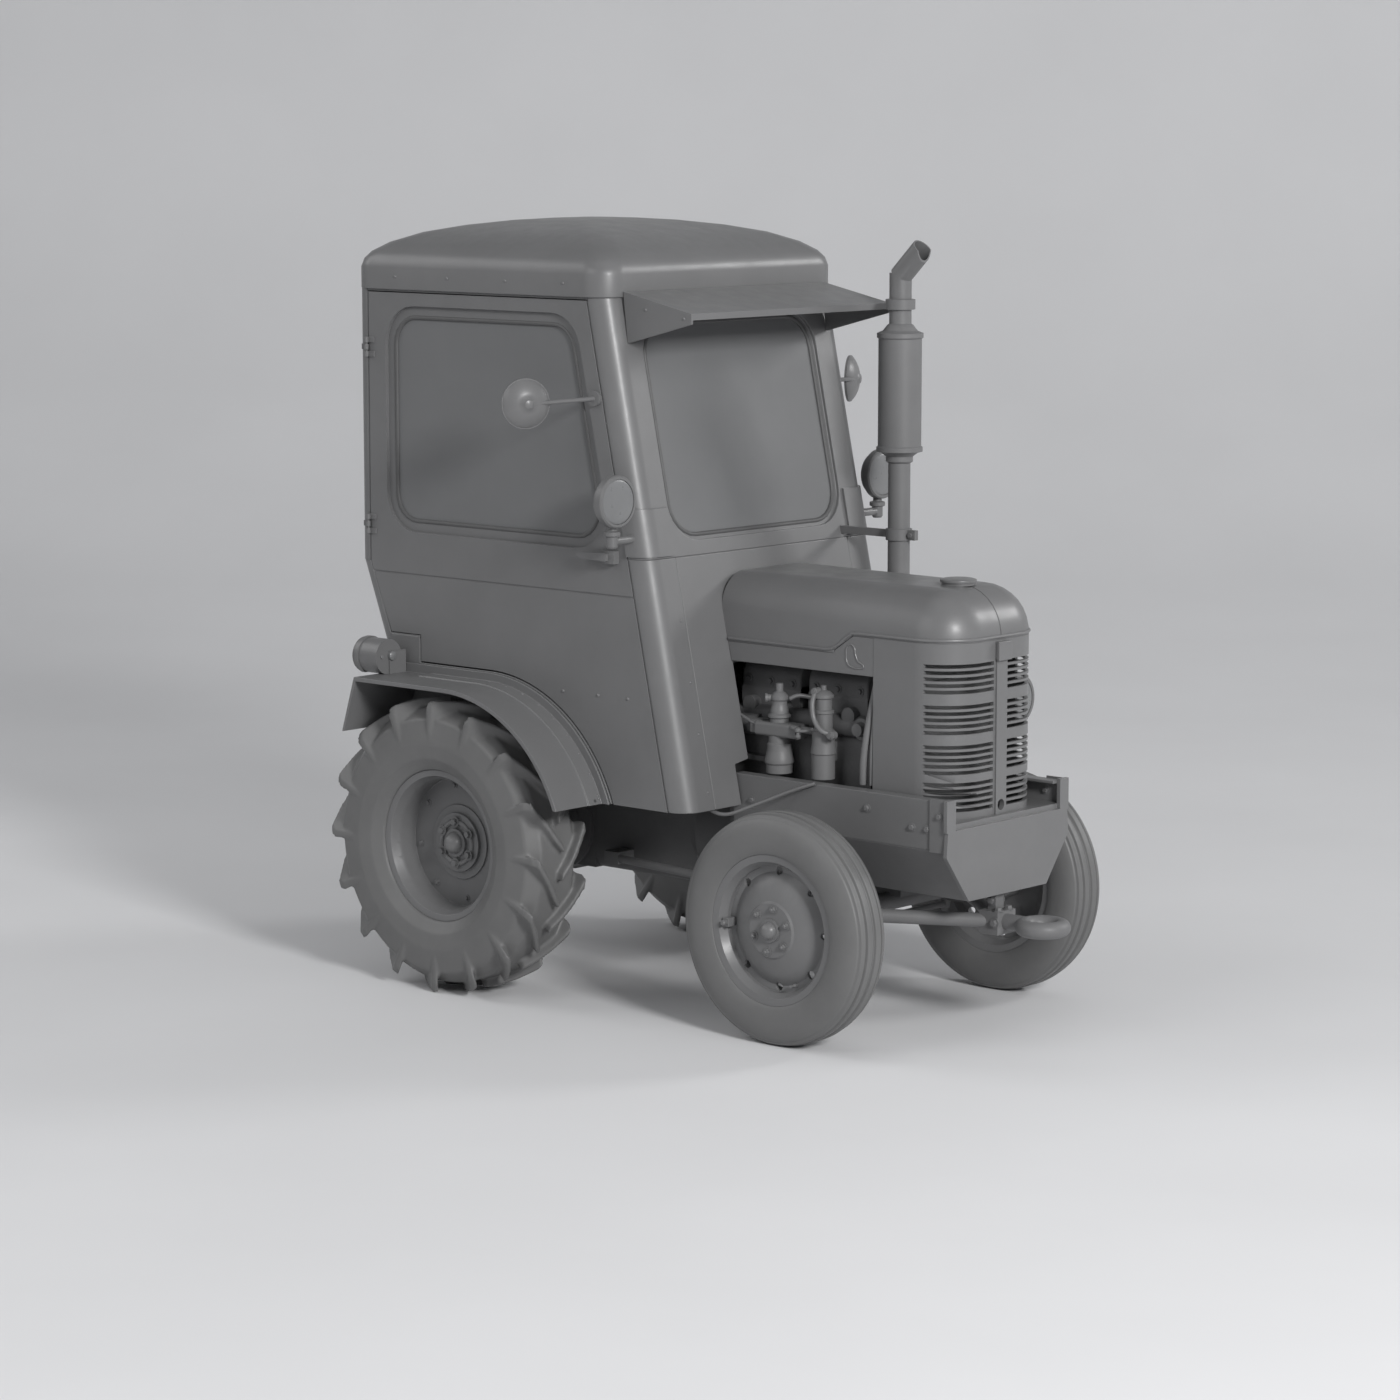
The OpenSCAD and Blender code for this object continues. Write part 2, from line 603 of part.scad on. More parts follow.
module fender_band(d0, d1, x0) {
    intersection() {
        difference() {
            fender_outline(d1);
            fender_outline(d0);
        }
        translate([x0, cab_sill_z]) square([1200, 500]);
    }
}
module fender(side) color("gray") mirror([0, side > 0 ? 1 : 0, 0]) {
    flap = [fender_rear_x - 58, 822];
    across(-fender_outer_y, -fender_inner_y) fender_band(-fender_sheet, 0, fender_rear_x);
    across(-fender_outer_y, -fender_outer_y + 9) fender_band(-fender_edge, 0, fender_rear_x + 6);
    across(-fender_outer_y, -fender_inner_y) polygon([
        [fender_rear_x, fender_top_z], [fender_rear_x + fender_sheet, fender_top_z - fender_sheet],
        flap + [fender_sheet, 0], flap]);
    across(-fender_inner_y - fender_sheet, -fender_inner_y) intersection() {
        fender_outline(-fender_sheet / 2);
        translate([fender_rear_x, cab_sill_z]) square([1200, 500]);
    }
    across(-cab_half - door_gap - fender_sheet, -cab_half - door_gap)
        fender_band(-fender_sheet / 2, flange_h, fender_rear_x);
    across(-cab_half - door_gap - fender_strip_w, -cab_half - door_gap)
        fender_band(-fender_sheet / 2, 4, fender_rear_x + 150);
}

// Lamps

work_lamp = [672, 648, 1632];
lamp_post_x = work_lamp.x + 26;
arm_z = work_lamp.z - 124;
tail_lamp = [-405, cab_half + 90, 58];  // rear face, middle and radius
module lamps() color("gray") {
    both() {
        translate([work_lamp.x, -work_lamp.y, work_lamp.z]) rotate([0, 90, 0]) difference() {
            rotate_extrude() polygon([
                [0, -12], [20, -12], [52, -2], [68, 10], [74, 26], [82, 28], [82, 50], [78, 55], [0, 55]]);
            translate([0, 0, 47]) cylinder(h = 20, r = 70);
        }
        translate([lamp_post_x, -work_lamp.y, arm_z]) rotate_extrude()
            polygon([
                [0, -22], [14, -22], [18, -16], [18, 14], [26, 18], [26, 30], [15, 34], [13, 70], [0, 70]]);
        difference() {
            bar([lamp_post_x, -work_lamp.y - 10, arm_z], [lamp_post_x, -cab_half + 60, arm_z], 13);
            on_front() linear_extrude(2600)
                corner_plan(front_corner_r + 90, cab_half + seat_gap, front_corner_r + seat_gap);
        }
        level(1452, 1600) on_front() linear_extrude(2600) intersection() {
            difference() {
                translate([8, 0]) corner_plan(front_corner_r + 8, cab_half + 8, front_corner_r + 8);
                translate([seat_gap, 0]) corner_plan(200, cab_half + seat_gap, front_corner_r + seat_gap);
            }
            translate([-front_corner_r, -cab_half - 20]) square([100, 150]);
        }
        translate([tail_lamp.x, -tail_lamp.y, fender_top_z + tail_lamp.z - 2])
            rotate([0, 90, 0]) difference() {
            union() {
                cylinder(h = 110, r = tail_lamp.z);
                translate([0, 0, 12]) cylinder(h = 16, r = tail_lamp.z + 4);
            }
            translate([tail_lamp.z - 2, -100, -1]) cube([100, 200, 200]);
        }
        translate([tail_lamp.x + 105, -tail_lamp.y, fender_top_z])
            cube([10, tail_lamp.y - cab_half - door_gap - 10, 74]);
    }
    translate([1450, 365, 984]) rotate([0, 90, 0]) difference() {
        cylinder(h = 60, r1 = 55, r2 = 80);
        translate([0, 0, 52]) cylinder(h = 20, r = 70);
    }
    bar([1480, 330, 984], [1480, hood_half_w, 984], 12);
}
module lamp_lenses() color("white") {
    both() translate([work_lamp.x + 47.3, -work_lamp.y, work_lamp.z]) rotate([0, 90, 0])
        cylinder(h = 6, r = 69);
    translate([1502.3, 365, 984]) rotate([0, 90, 0]) cylinder(h = 6, r = 69);
}

// Driver's place

module seat() color("dimgray") {
    translate([-60, 0, 1080]) rotate_extrude()
        polygon([[0, 0], [120, 0], [200, 60], [206, 56], [124, -7], [0, -7]]);
    translate([-60, 0, floor_z + floor_t]) cylinder(h = 1073 - floor_z - floor_t, r = 30);
}
wheel_hub = [395, 0, 1330];
wheel_lean = 40;                // lean of the steering column from upright
module on_column() {
    translate(wheel_hub) rotate([0, -wheel_lean, 0]) children();
}
module steering_column() color("dimgray") {
    difference() {
        on_column() translate([0, 0, -500]) cylinder(h = 474, r = 22);
        on_column() translate([0, 0, -100]) cylinder(h = 110, r = 11 + run_fit);
    }
    translate([610, -70, floor_z + floor_t]) cube([130, 140, 260]);
}
module steering_wheel() color("black") on_column() {
    rotate_extrude() translate([190, 0]) circle(14);
    translate([0, 0, -18]) cylinder(h = 36, r = 34);
    for (a = [0, 120, 240]) rotate([0, 0, a]) rotate([0, 90, 0]) cylinder(h = 190, r = 8);
    translate([0, 0, -90]) cylinder(h = 80, r = 11);
}
module controls() color("dimgray") {
    top = floor_z + floor_t;
    translate([330, -60, top]) cylinder(h = 40, r1 = 40, r2 = 20);
    bar([330, -60, top + 20], [300, -80, 1020], 9);
    translate([300, -80, 1030]) sphere(24);
    for (y = [-330, -250, 250]) {
        translate([700, y - 10, top]) cube([20, 20, 120]);
        translate([690, y - 28, top + 90]) rotate([0, -30, 0]) cube([14, 56, 90]);
    }
}
module drawbar() color("dimgray") difference() {
    translate([-drawbar_reach, -40, axle_pad_z - 30]) cube([drawbar_reach - 40, 80, 30]);
    translate([-drawbar_reach + 45, 0, axle_pad_z - 60]) cylinder(h = 100, r = 16);
}

// Steering knuckles and wheels

arm_pin_r = 8;                  // pins of the tie rod
module knuckle(side) color("dimgray") mirror([0, side > 0 ? 1 : 0, 0])
        translate([wheelbase, -kingpin_y, front_r]) {
    difference() {
        union() {
            translate([0, 0, -75]) cylinder(h = 170, r = 15);
            translate([0, 0, 74]) cylinder(h = 22, r = 32);
            translate([0, 0, -76]) cylinder(h = 22, r = 32);
            for (z = [74, -76]) translate([-26, -60, z]) cube([52, 60, 22]);
            translate([-26, -60, -76]) cube([52, 20, 172]);
            translate([0, -60, 0]) rotate([90, 0, 0]) cylinder(h = 90, r = 20);
            translate([-steer_arm, -14, -74]) cube([steer_arm, 28, 18]);
            translate([-steer_arm, 0, -74]) cylinder(h = 18, r = 20);
        }
        translate([-steer_arm, 0, -80]) cylinder(h = 30, r = arm_pin_r + run_fit);
    }
}
module tie_rod() color("gray") {
    z = front_r - 74 - 26 - seat_gap;
    both() translate([wheelbase - steer_arm, -kingpin_y, z]) {
        cylinder(h = 26, r = 17);
        cylinder(h = 26 + seat_gap + 18, r = arm_pin_r);
    }
    bar([wheelbase - steer_arm, -kingpin_y, z + 12], [wheelbase - steer_arm, kingpin_y, z + 12], 11);
}
module wheel_place(x, y, side, r) {
    translate([x, side * y, r]) mirror([0, side > 0 ? 1 : 0, 0]) rotate([90, 0, 0]) children();
}
// Front wheel about its axle; +Z is outward
hand_holes = 8;
module front_rim(side) color("gray") wheel_place(wheelbase, front_track / 2, side, front_r) {
    lip = front_rim_d / 2;
    well = lip - 37;
    flange_r = 84;
    difference() {
        union() {
            rotate_extrude($fn = 96) polygon([
                [lip, 62], [lip, 56], [lip - 18, 52], [lip - 30, 30], [lip - 30, -30], [lip - 18, -52],
                [lip, -56], [lip, -62], [lip - 22, -58], [well, -32], [well, 6], [well - 22, 8],
                [well - 56, 30], [100, 44], [62, 44], [62, 62], [flange_r, 62], [flange_r + 6, 56],
                [104, 52], [well - 52, 38], [well - 20, 18], [well, 20], [well, 34], [lip - 22, 58]]);
            translate([0, 0, -30]) cylinder(h = 92, r = 64);
            translate([0, 0, 60]) cylinder(h = 10, r = 36);
            translate([0, 0, 66]) intersection() {
                sphere(28);
                cylinder(h = 40, r = 40);
            }
        }
        translate([0, 0, -31]) cylinder(h = 92, r = 20 + run_fit);
        for (i = [0:hand_holes - 1]) rotate([0, 0, i * 360 / hand_holes])
            translate([well - 16, 0, -10]) cylinder(h = 60, r = 13);
    }
}
// Front tyre tread from the middle out: half width and depth below the crown
front_tread = [[0, 9], [6, 9], [9, 1], [30, 0], [33, 9], [38, 10], [41, 3], [54, 7], [57, 16], [61, 18]];
module front_tyre(side) color("dimgray") wheel_place(wheelbase, front_track / 2, side, front_r) {
    lip = front_rim_d / 2;
    w = front_tyre_w / 2;
    half = concat(
        [for (k = front_tread) [front_r - k.y, k.x * w / 78]],
        [[front_r - 32, w - 8], [front_r - 52, w - 2], [front_r - 72, w], [lip + 30, w - 3],
         [lip + 12, w - 8], [lip + seat_gap, 64], [lip + seat_gap, 50], [lip - 17, 49]]);
    n = len(half);
    rotate_extrude($fn = 96) polygon(concat(half, [for (i = [n - 1:-1:1]) [half[i].x, -half[i].y]]));
}
module rear_rim(side) color("gray") wheel_place(0, rear_track / 2, side, rear_r) {
    lip = rear_rim_d / 2;
    difference() {
        union() {
            rotate_extrude($fn = 96) polygon([
                [lip, 84], [lip, 76], [lip - 16, 72], [lip - 28, 40], [lip - 28, -60], [lip - 16, -72],
                [lip, -76], [lip, -84], [lip - 20, -80], [lip - 36, -62], [lip - 36, -26], [120, -26],
                [120, -16], [lip - 36, -16],
                [lip - 36, 42], [lip - 20, 80]]);
            translate([0, 0, -26]) cylinder(h = 16, r = 122);
            translate([0, 0, -78]) cylinder(h = 80, r = 96);
            rotate_extrude($fn = 96) translate([68, 2]) circle(9);
            translate([0, 0, -78]) cylinder(h = 92, r = 46);
            translate([0, 0, 12]) sphere(36);
            translate([0, 0, -230]) cylinder(h = 160, r = 30);
        }
    }
}
// Stations of a lug from flank to crown: axial place, turn in degrees, foot and top radius,
// foot and top half width
function lug_stations() = let (w = rear_tyre_w / 2, tread = rear_r - lug_h) [
    [w - 1, 1, tread - 108, rear_r - 30, 4, 15], [w - 12, 0, tread - 60, rear_r - 4, 22, 15],
    [w - 58, -8, tread - 14, rear_r, 21, 14], [w - 96, -14.5, tread - 14, rear_r, 20, 14],
    [w - 126, -18.5, tread - 14, rear_r - 2, 16, 11]];
module lug() {
    st = lug_stations();
    last = 4 * (len(st) - 1);
    polyhedron(
        points = [for (k = st, c = [[2, -4], [2, 4], [3, 5], [3, -5]])
            let (r = k[c[0]], a = k[1] + sign(c[1]) * k[abs(c[1])] / rear_r * 180 / PI)
                [r * cos(a), r * sin(a), k[0]]],
        faces = concat([[0, 1, 2, 3], [last + 3, last + 2, last + 1, last]],
            [for (i = [0:len(st) - 2], j = [0:3])
                [4 * i + 4 + j, 4 * i + 4 + (j + 1) % 4, 4 * i + (j + 1) % 4, 4 * i + j]]));
}
module rear_tyre(side) color("dimgray") wheel_place(0, rear_track / 2, side, rear_r) {
    lip = rear_rim_d / 2;
    w = rear_tyre_w / 2;
    tread = rear_r - lug_h;
    rotate_extrude($fn = 40) polygon([
        [lip - 15, 66], [lip + seat_gap, 68], [lip + seat_gap, 90], [lip + 40, w - 8], [lip + 90, w],
        [tread - 36, w - 10],
        [tread, w - 50], [tread, 50 - w], [tread - 36, 10 - w], [lip + 90, -w], [lip + 40, 8 - w],
        [lip + seat_gap, -90], [lip + seat_gap, -68], [lip - 15, -66]]);
    for (i = [0:lug_count - 1]) {
        rotate([0, 0, i * 360 / lug_count]) lug();
        rotate([0, 0, (i + 0.5) * 360 / lug_count]) mirror([0, 0, 1]) lug();
    }
}

// Doors: hinged at the rear edge

hinge_r = 8;
hinge_pin_r = 4;
hinge_x = cab_rear_x + rear_corner_r + door_gap / 2;
hinge_y = cab_half + hinge_r + 1;
hinge_z = [1480, 2060];
door_top_z = roof_rim_z - 10;
door_belt_z = 1322;             // groove between the window panel and the lower panel
groove = 3;
module door_outline() {
    rear_edge = (rear_corner_r + door_gap) / cos(rear_lean);
    difference() {
        polygon([
            [door_front_x(cab_sill_z), cab_sill_z], [door_front_x(door_top_z), door_top_z],
            [door_rear_x, door_top_z], [door_rear_x, rear_kink_z],
            [rear_x(quarter_z) + rear_edge, quarter_z], [quarter_x, quarter_z],
            [quarter_x, cab_sill_z]]);
        fender_outline(door_lift);
    }
}
module door(side) color("gray") mirror([0, side > 0 ? 1 : 0, 0]) {
    difference() {
        across(-cab_half, -cab_half + cab_wall) door_outline();
        across(-cab_half - 1, -cab_half + cab_wall + 1) pane_hole(window_pts, window_r);
        across(-cab_half - 1, -cab_half + window_step_d)
            pane_hole(inset(window_pts, -window_step), window_r + window_step);
        translate([-1000, -cab_half - 1, door_belt_z]) cube([3000, 1 + groove, 2 * groove]);
    }
    for (z = hinge_z) {
        for (k = [-32, 14]) {
            translate([hinge_x, -hinge_y, z + k]) cylinder(h = 18, r = hinge_r);
            translate([hinge_x, -cab_half - 4, z + k]) cube([30, 4, 18]);
        }
        translate([hinge_x, -hinge_y, z - 20]) cylinder(h = 40, r = hinge_pin_r);
    }
}
module door_glass(side) color("lightgray") mirror([0, side > 0 ? 1 : 0, 0])
    across(-cab_half + window_step_d + 4, -cab_half + window_step_d + 4 + pane_t)
        pane_hole(inset(window_pts, seat_gap), window_r);
mirror_at = [490, 800, 1930];
mirror_foot = [548, cab_half, 1938];
module door_fittings(side) color("gray") mirror([0, side > 0 ? 1 : 0, 0]) {
    translate([mirror_foot.x, -mirror_foot.y, mirror_foot.z]) rotate([90, 0, 0]) cylinder(h = 10, r = 24);
    bar([mirror_foot.x, -mirror_foot.y - 6, mirror_foot.z], [mirror_at.x, -mirror_at.y, mirror_at.z], 7);
    translate([mirror_at.x, -mirror_at.y, mirror_at.z]) rotate([0, 0, -28]) rotate([0, 90, 0]) {
        translate([0, 0, -34]) cylinder(h = 8, r = 78);
        translate([0, 0, -26]) cylinder(h = 30, r1 = 76, r2 = 14);
    }
    translate([590, -cab_half - 26, 1428]) cube([56, 26, 40]);
    across(-cab_half - 40, -cab_half - 26) polygon(rounded(
        [[500, 1447], [522, 1439], [624, 1436], [624, 1462], [522, 1459], [500, 1455]], 3));
}

place() rear_axle();
place() gearbox();
place() engine();
place() radiator();
place() pump_set();
place() frame_rails();
place() belly_pan();
place() front_plate();
place() axle_beam();
place() stay_rods();
place() tow_frame();
place() exhaust_stack();
place() hood();
place() hood_strips();
place() nose_cowl();
place() windscreen_frame();
place() windscreen();
place() bulkhead();
place() corner_panels();
place() cab_rear();
place() cab_rear_lower();
place() rear_window();
place() roof();
place() sun_visor();
place() cab_floor();
place() fender(-1);  // fender_right
place() fender(1);  // fender_left
place() lamps();
place() lamp_lenses();
place() seat();
place() steering_column();
place() controls();
place() drawbar();
place() steering_wheel();
place() knuckle(-1);  // knuckle_right
place() knuckle(1);  // knuckle_left
place() tie_rod();
place() front_rim(-1);  // front_rim_right
place() front_rim(1);  // front_rim_left
place() front_tyre(-1);  // front_tyre_right
place() front_tyre(1);  // front_tyre_left
place() rear_rim(-1);  // rear_rim_right
place() rear_rim(1);  // rear_rim_left
place() rear_tyre(-1);  // rear_tyre_right
place() rear_tyre(1);  // rear_tyre_left
place() door(-1);  // door_right
place() door(1);  // door_left
place() door_glass(-1);  // door_glass_right
place() door_glass(1);  // door_glass_left
place() door_fittings(-1);  // door_fittings_right
place() door_fittings(1);  // door_fittings_left
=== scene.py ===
"""Looks of a small farm tractor with a closed cab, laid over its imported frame."""
import json
import math

import bmesh
import bpy
from bpy.props import FloatProperty, FloatVectorProperty, PointerProperty
from bpy.types import Operator, Panel, PropertyGroup
from mathutils import Matrix, Vector
from mathutils.bvhtree import BVHTree

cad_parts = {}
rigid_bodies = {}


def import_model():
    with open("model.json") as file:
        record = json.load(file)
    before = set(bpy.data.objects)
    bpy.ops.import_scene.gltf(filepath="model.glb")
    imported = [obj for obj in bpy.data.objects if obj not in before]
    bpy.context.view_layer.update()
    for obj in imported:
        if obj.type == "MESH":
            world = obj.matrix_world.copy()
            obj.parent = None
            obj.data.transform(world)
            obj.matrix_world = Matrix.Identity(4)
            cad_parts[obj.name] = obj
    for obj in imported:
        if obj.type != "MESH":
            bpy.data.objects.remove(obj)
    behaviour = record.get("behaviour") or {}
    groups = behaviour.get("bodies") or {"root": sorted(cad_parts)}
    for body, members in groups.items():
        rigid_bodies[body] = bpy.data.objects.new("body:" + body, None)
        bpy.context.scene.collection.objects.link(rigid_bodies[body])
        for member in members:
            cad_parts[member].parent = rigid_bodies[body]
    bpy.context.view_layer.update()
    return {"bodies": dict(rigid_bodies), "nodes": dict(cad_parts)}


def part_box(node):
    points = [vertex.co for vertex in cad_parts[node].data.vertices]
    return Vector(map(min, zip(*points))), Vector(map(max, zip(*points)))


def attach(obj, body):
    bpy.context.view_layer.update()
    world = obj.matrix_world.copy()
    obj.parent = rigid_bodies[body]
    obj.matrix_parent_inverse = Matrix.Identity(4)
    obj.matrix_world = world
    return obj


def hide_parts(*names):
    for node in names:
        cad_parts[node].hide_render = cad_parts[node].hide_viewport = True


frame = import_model()

bl_info = {
    "name": "Farm tractor looks",
    "version": (1, 0, 0),
    "blender": (4, 5, 0),
    "location": "View3D > Sidebar > Tractor",
    "description": "Finishes, tyres, fittings and studio of a small farm tractor",
    "category": "Object",
}

BODY_OF = {
    node: body
    for body, empty in frame["bodies"].items()
    for node, obj in frame["nodes"].items()
    if obj.parent == empty
}
SIDES = (("right", -1), ("left", 1))
FORWARD, BACKWARD, LEFT, RIGHT, UP = (1, 0, 0), (-1, 0, 0), (0, 1, 0), (0, -1, 0), (0, 0, 1)


def middle(node):
    """The middle of a CAD node's box."""
    low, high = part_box(node)
    return (low + high) / 2


AXLE_X = middle("rear_tyre_right").x
FINISH = {}
TREES = {}


def station(x, y, z):
    """A point from millimetres ahead of the rear axle, left of the middle and above the ground."""
    return Vector((AXLE_X + x / 1000, y / 1000, z / 1000))


# Measures that several pieces share, in millimetres

LEAN = math.radians(12.1)
CAB_FACING = (math.cos(LEAN), 0, math.sin(LEAN))
CAB_FRONT_X, CAB_FRONT_Z = 757, 1444
ARCH_X, ARCH_Z, ARCH_RADIUS = 80, 470, 535
HEADS_X, HEAD_LENGTH, HEAD_SIDE = (790, 1065), 240, 139


def cab_front_x(z):
    """Station of the cab's leaning front face at a height, both in millimetres."""
    return CAB_FRONT_X + (CAB_FRONT_Z - z) * math.tan(LEAN)


# Sizes and colours


class TractorSizes(PropertyGroup):
    edge: FloatProperty(
        name="Edge rounding", description="Rounding of pressed and cast edges",
        default=0.003, min=0.0005, max=0.006, unit="LENGTH")
    tyre_grain: FloatProperty(
        name="Tyre mould grain", description="Size of the smallest form moulded in a rear tyre",
        default=0.0055, min=0.005, max=0.012, unit="LENGTH")
    seal_radius: FloatProperty(
        name="Seal radius", description="Radius of the rubber seal round a pane",
        default=0.008, min=0.004, max=0.012, unit="LENGTH")
    bolt_radius: FloatProperty(
        name="Bolt radius", description="Half width of a frame bolt's head",
        default=0.009, min=0.004, max=0.014, unit="LENGTH")
    rivet_radius: FloatProperty(
        name="Rivet radius", description="Radius of a cab screw's round head",
        default=0.0055, min=0.003, max=0.009, unit="LENGTH")


class TractorColours(PropertyGroup):
    paint: FloatVectorProperty(
        name="Paint", description="Colour of the painted sheet metal",
        default=(0.150, 0.150, 0.152), size=3, min=0, max=1, subtype="COLOR")
    casting: FloatVectorProperty(
        name="Castings", description="Colour of the engine and the axles",
        default=(0.118, 0.118, 0.120), size=3, min=0, max=1, subtype="COLOR")
    rubber: FloatVectorProperty(
        name="Rubber", description="Colour of the tyres",
        default=(0.138, 0.138, 0.138), size=3, min=0, max=1, subtype="COLOR")
    seal: FloatVectorProperty(
        name="Seals", description="Colour of the seals round the panes",
        default=(0.085, 0.085, 0.086), size=3, min=0, max=1, subtype="COLOR")
    glass: FloatVectorProperty(
        name="Glass", description="Colour of the panes",
        default=(0.150, 0.152, 0.155), size=3, min=0, max=1, subtype="COLOR")
    floor: FloatVectorProperty(
        name="Floor", description="Colour of the studio floor",
        default=(0.72, 0.72, 0.73), size=3, min=0, max=1, subtype="COLOR")


def sizes():
    return bpy.context.scene.tractor_sizes


def colours():
    return bpy.context.scene.tractor_colours


# Finishes

NOISE_LOW, NOISE_HIGH = 0.3, 0.7
CLOUD_DARK, CLOUD_PALE = 0.93, 1.06
GLOSS_DOWN, GLOSS_UP = 0.04, 0.05
BUMP_STRENGTH = 0.35
COAT_ROUGHNESS = 0.18
FLOOR_ROUGHNESS = 0.7


def link(tree, a, b):
    tree.links.new(a, b)


def add(tree, kind, **values):
    node = tree.nodes.new(kind)
    for key, value in values.items():
        setattr(node, key, value)
    return node


def grain(tree, where, scale, detail, rough):
    """A noise of that scale."""
    noise = add(tree, "ShaderNodeTexNoise")
    noise.inputs["Scale"].default_value = scale
    noise.inputs["Detail"].default_value = detail
    noise.inputs["Roughness"].default_value = rough
    link(tree, where, noise.inputs["Vector"])
    return noise.outputs["Fac"]


def ramp(tree, source, low, high):
    """A noise turned into colours between two."""
    node = add(tree, "ShaderNodeValToRGB")
    for stop, place, colour in zip(node.color_ramp.elements, (NOISE_LOW, NOISE_HIGH), (low, high)):
        stop.position = place
        stop.color = (*colour, 1)
    link(tree, source, node.inputs["Fac"])
    return node.outputs["Color"]


def span(tree, source, low, high):
    """A noise turned into values between two."""
    node = add(tree, "ShaderNodeMapRange")
    node.inputs["From Min"].default_value = NOISE_LOW
    node.inputs["From Max"].default_value = NOISE_HIGH
    node.inputs["To Min"].default_value = low
    node.inputs["To Max"].default_value = high
    link(tree, source, node.inputs["Value"])
    return node.outputs["Result"]


def shade(colour, share):
    return tuple(min(1.0, c * share) for c in colour)


def new_material(name):
    """A material with its tree, its shader and the place on the object."""
    mat = bpy.data.materials.new(name)
    mat.use_nodes = True
    tree = mat.node_tree
    where = add(tree, "ShaderNodeTexCoord").outputs["Object"]
    return mat, tree, tree.nodes["Principled BSDF"], where


def make_finish(name, colour, rough, cloud, peel, depth, coat=0.0, level=0.5):
    """A used finish: softly clouded colour, uneven gloss and a fine grain of that scale and depth."""
    mat, tree, bsdf, where = new_material(name)
    clouds = grain(tree, where, cloud, detail=7, rough=0.6)
    tint = ramp(tree, clouds, shade(colour, CLOUD_DARK), shade(colour, CLOUD_PALE))
    link(tree, tint, bsdf.inputs["Base Color"])
    smears = grain(tree, where, cloud * 5, detail=5, rough=0.65)
    link(tree, span(tree, smears, rough - GLOSS_DOWN, rough + GLOSS_UP), bsdf.inputs["Roughness"])
    bump = add(tree, "ShaderNodeBump")
    bump.inputs["Strength"].default_value = BUMP_STRENGTH
    bump.inputs["Distance"].default_value = depth
    link(tree, grain(tree, where, peel, detail=3, rough=0.5), bump.inputs["Height"])
    link(tree, bump.outputs["Normal"], bsdf.inputs["Normal"])
    bsdf.inputs["Coat Weight"].default_value = coat
    bsdf.inputs["Coat Roughness"].default_value = COAT_ROUGHNESS
    bsdf.inputs["Specular IOR Level"].default_value = level
    FINISH[name] = mat


def make_finishes():
    """Every finish: name, colour, roughness, scales of clouds and grain, and depth of the grain."""
    c = colours()
    make_finish("satin_paint", c.paint, 0.4, 3.2, 260, 0.0004, coat=0.06)
    make_finish("worn_paint", c.paint, 0.5, 5.0, 190, 0.0008)
    make_finish("rough_casting", c.casting, 0.6, 8.0, 130, 0.0018)
    make_finish("tyre_rubber", c.rubber, 0.5, 6.0, 210, 0.0007)
    make_finish("seal_rubber", c.seal, 0.55, 9.0, 300, 0.0004)
    make_finish("pipe_steel", shade(c.paint, 1.05), 0.38, 9.0, 160, 0.0006)
    make_finish("pane_glass", c.glass, 0.52, 1.6, 8, 0.0002, level=0.3)
    make_finish("lens_glass", shade(c.glass, 1.2), 0.3, 8.0, 40, 0.0003)


# Meshes

MERGE = 2e-5
FLAT = math.radians(0.4)
BEVEL_ANGLE, BEVEL_SEGMENTS = math.radians(28), 2
SHARP = 35
PIPE_SIDES = 12


def basis(axis):
    """A turn that takes +Z to the axis."""
    return Vector(UP).rotation_difference(Vector(axis).normalized()).to_matrix().to_4x4()


def turned(bm, profile, foot, axis, steps):
    """A body of revolution: profile is radius and height in millimetres, from one end to the other."""
    place = Matrix.Translation(foot) @ basis(axis)
    turn = [2 * math.pi * i / steps for i in range(steps)]
    rings = []
    for radius, height in profile:
        ring = [(0, 0)] if radius <= 0 else [(radius * math.cos(a), radius * math.sin(a)) for a in turn]
        spots = [Vector((x / 1000, y / 1000, height / 1000)) for x, y in ring]
        rings.append([bm.verts.new(place @ p) for p in spots])
    for low, high in zip(rings, rings[1:]):
        for i in range(steps):
            j = (i + 1) % steps
            corners = [low[i % len(low)], low[j % len(low)], high[j % len(high)], high[i % len(high)]]
            unique = list(dict.fromkeys(corners))
            if len(unique) > 2:
                bm.faces.new(unique)
    for ring in (rings[0], rings[-1]):
        if len(ring) > 1:
            bm.faces.new(ring)


def eased(points, per_span=8):
    """A smooth line through the points."""
    points = [Vector(p) for p in points]
    line = []
    padded = [2 * points[0] - points[1], *points, 2 * points[-1] - points[-2]]
    for a, b, c, d in zip(padded, padded[1:], padded[2:], padded[3:]):
        for k in range(per_span):
            t = k / per_span
            line.append(0.5 * (2 * b + (c - a) * t + (2 * a - 5 * b + 4 * c - d) * t * t
                               + (3 * b - a - 3 * c + d) * t ** 3))
    return [*line, points[-1]]


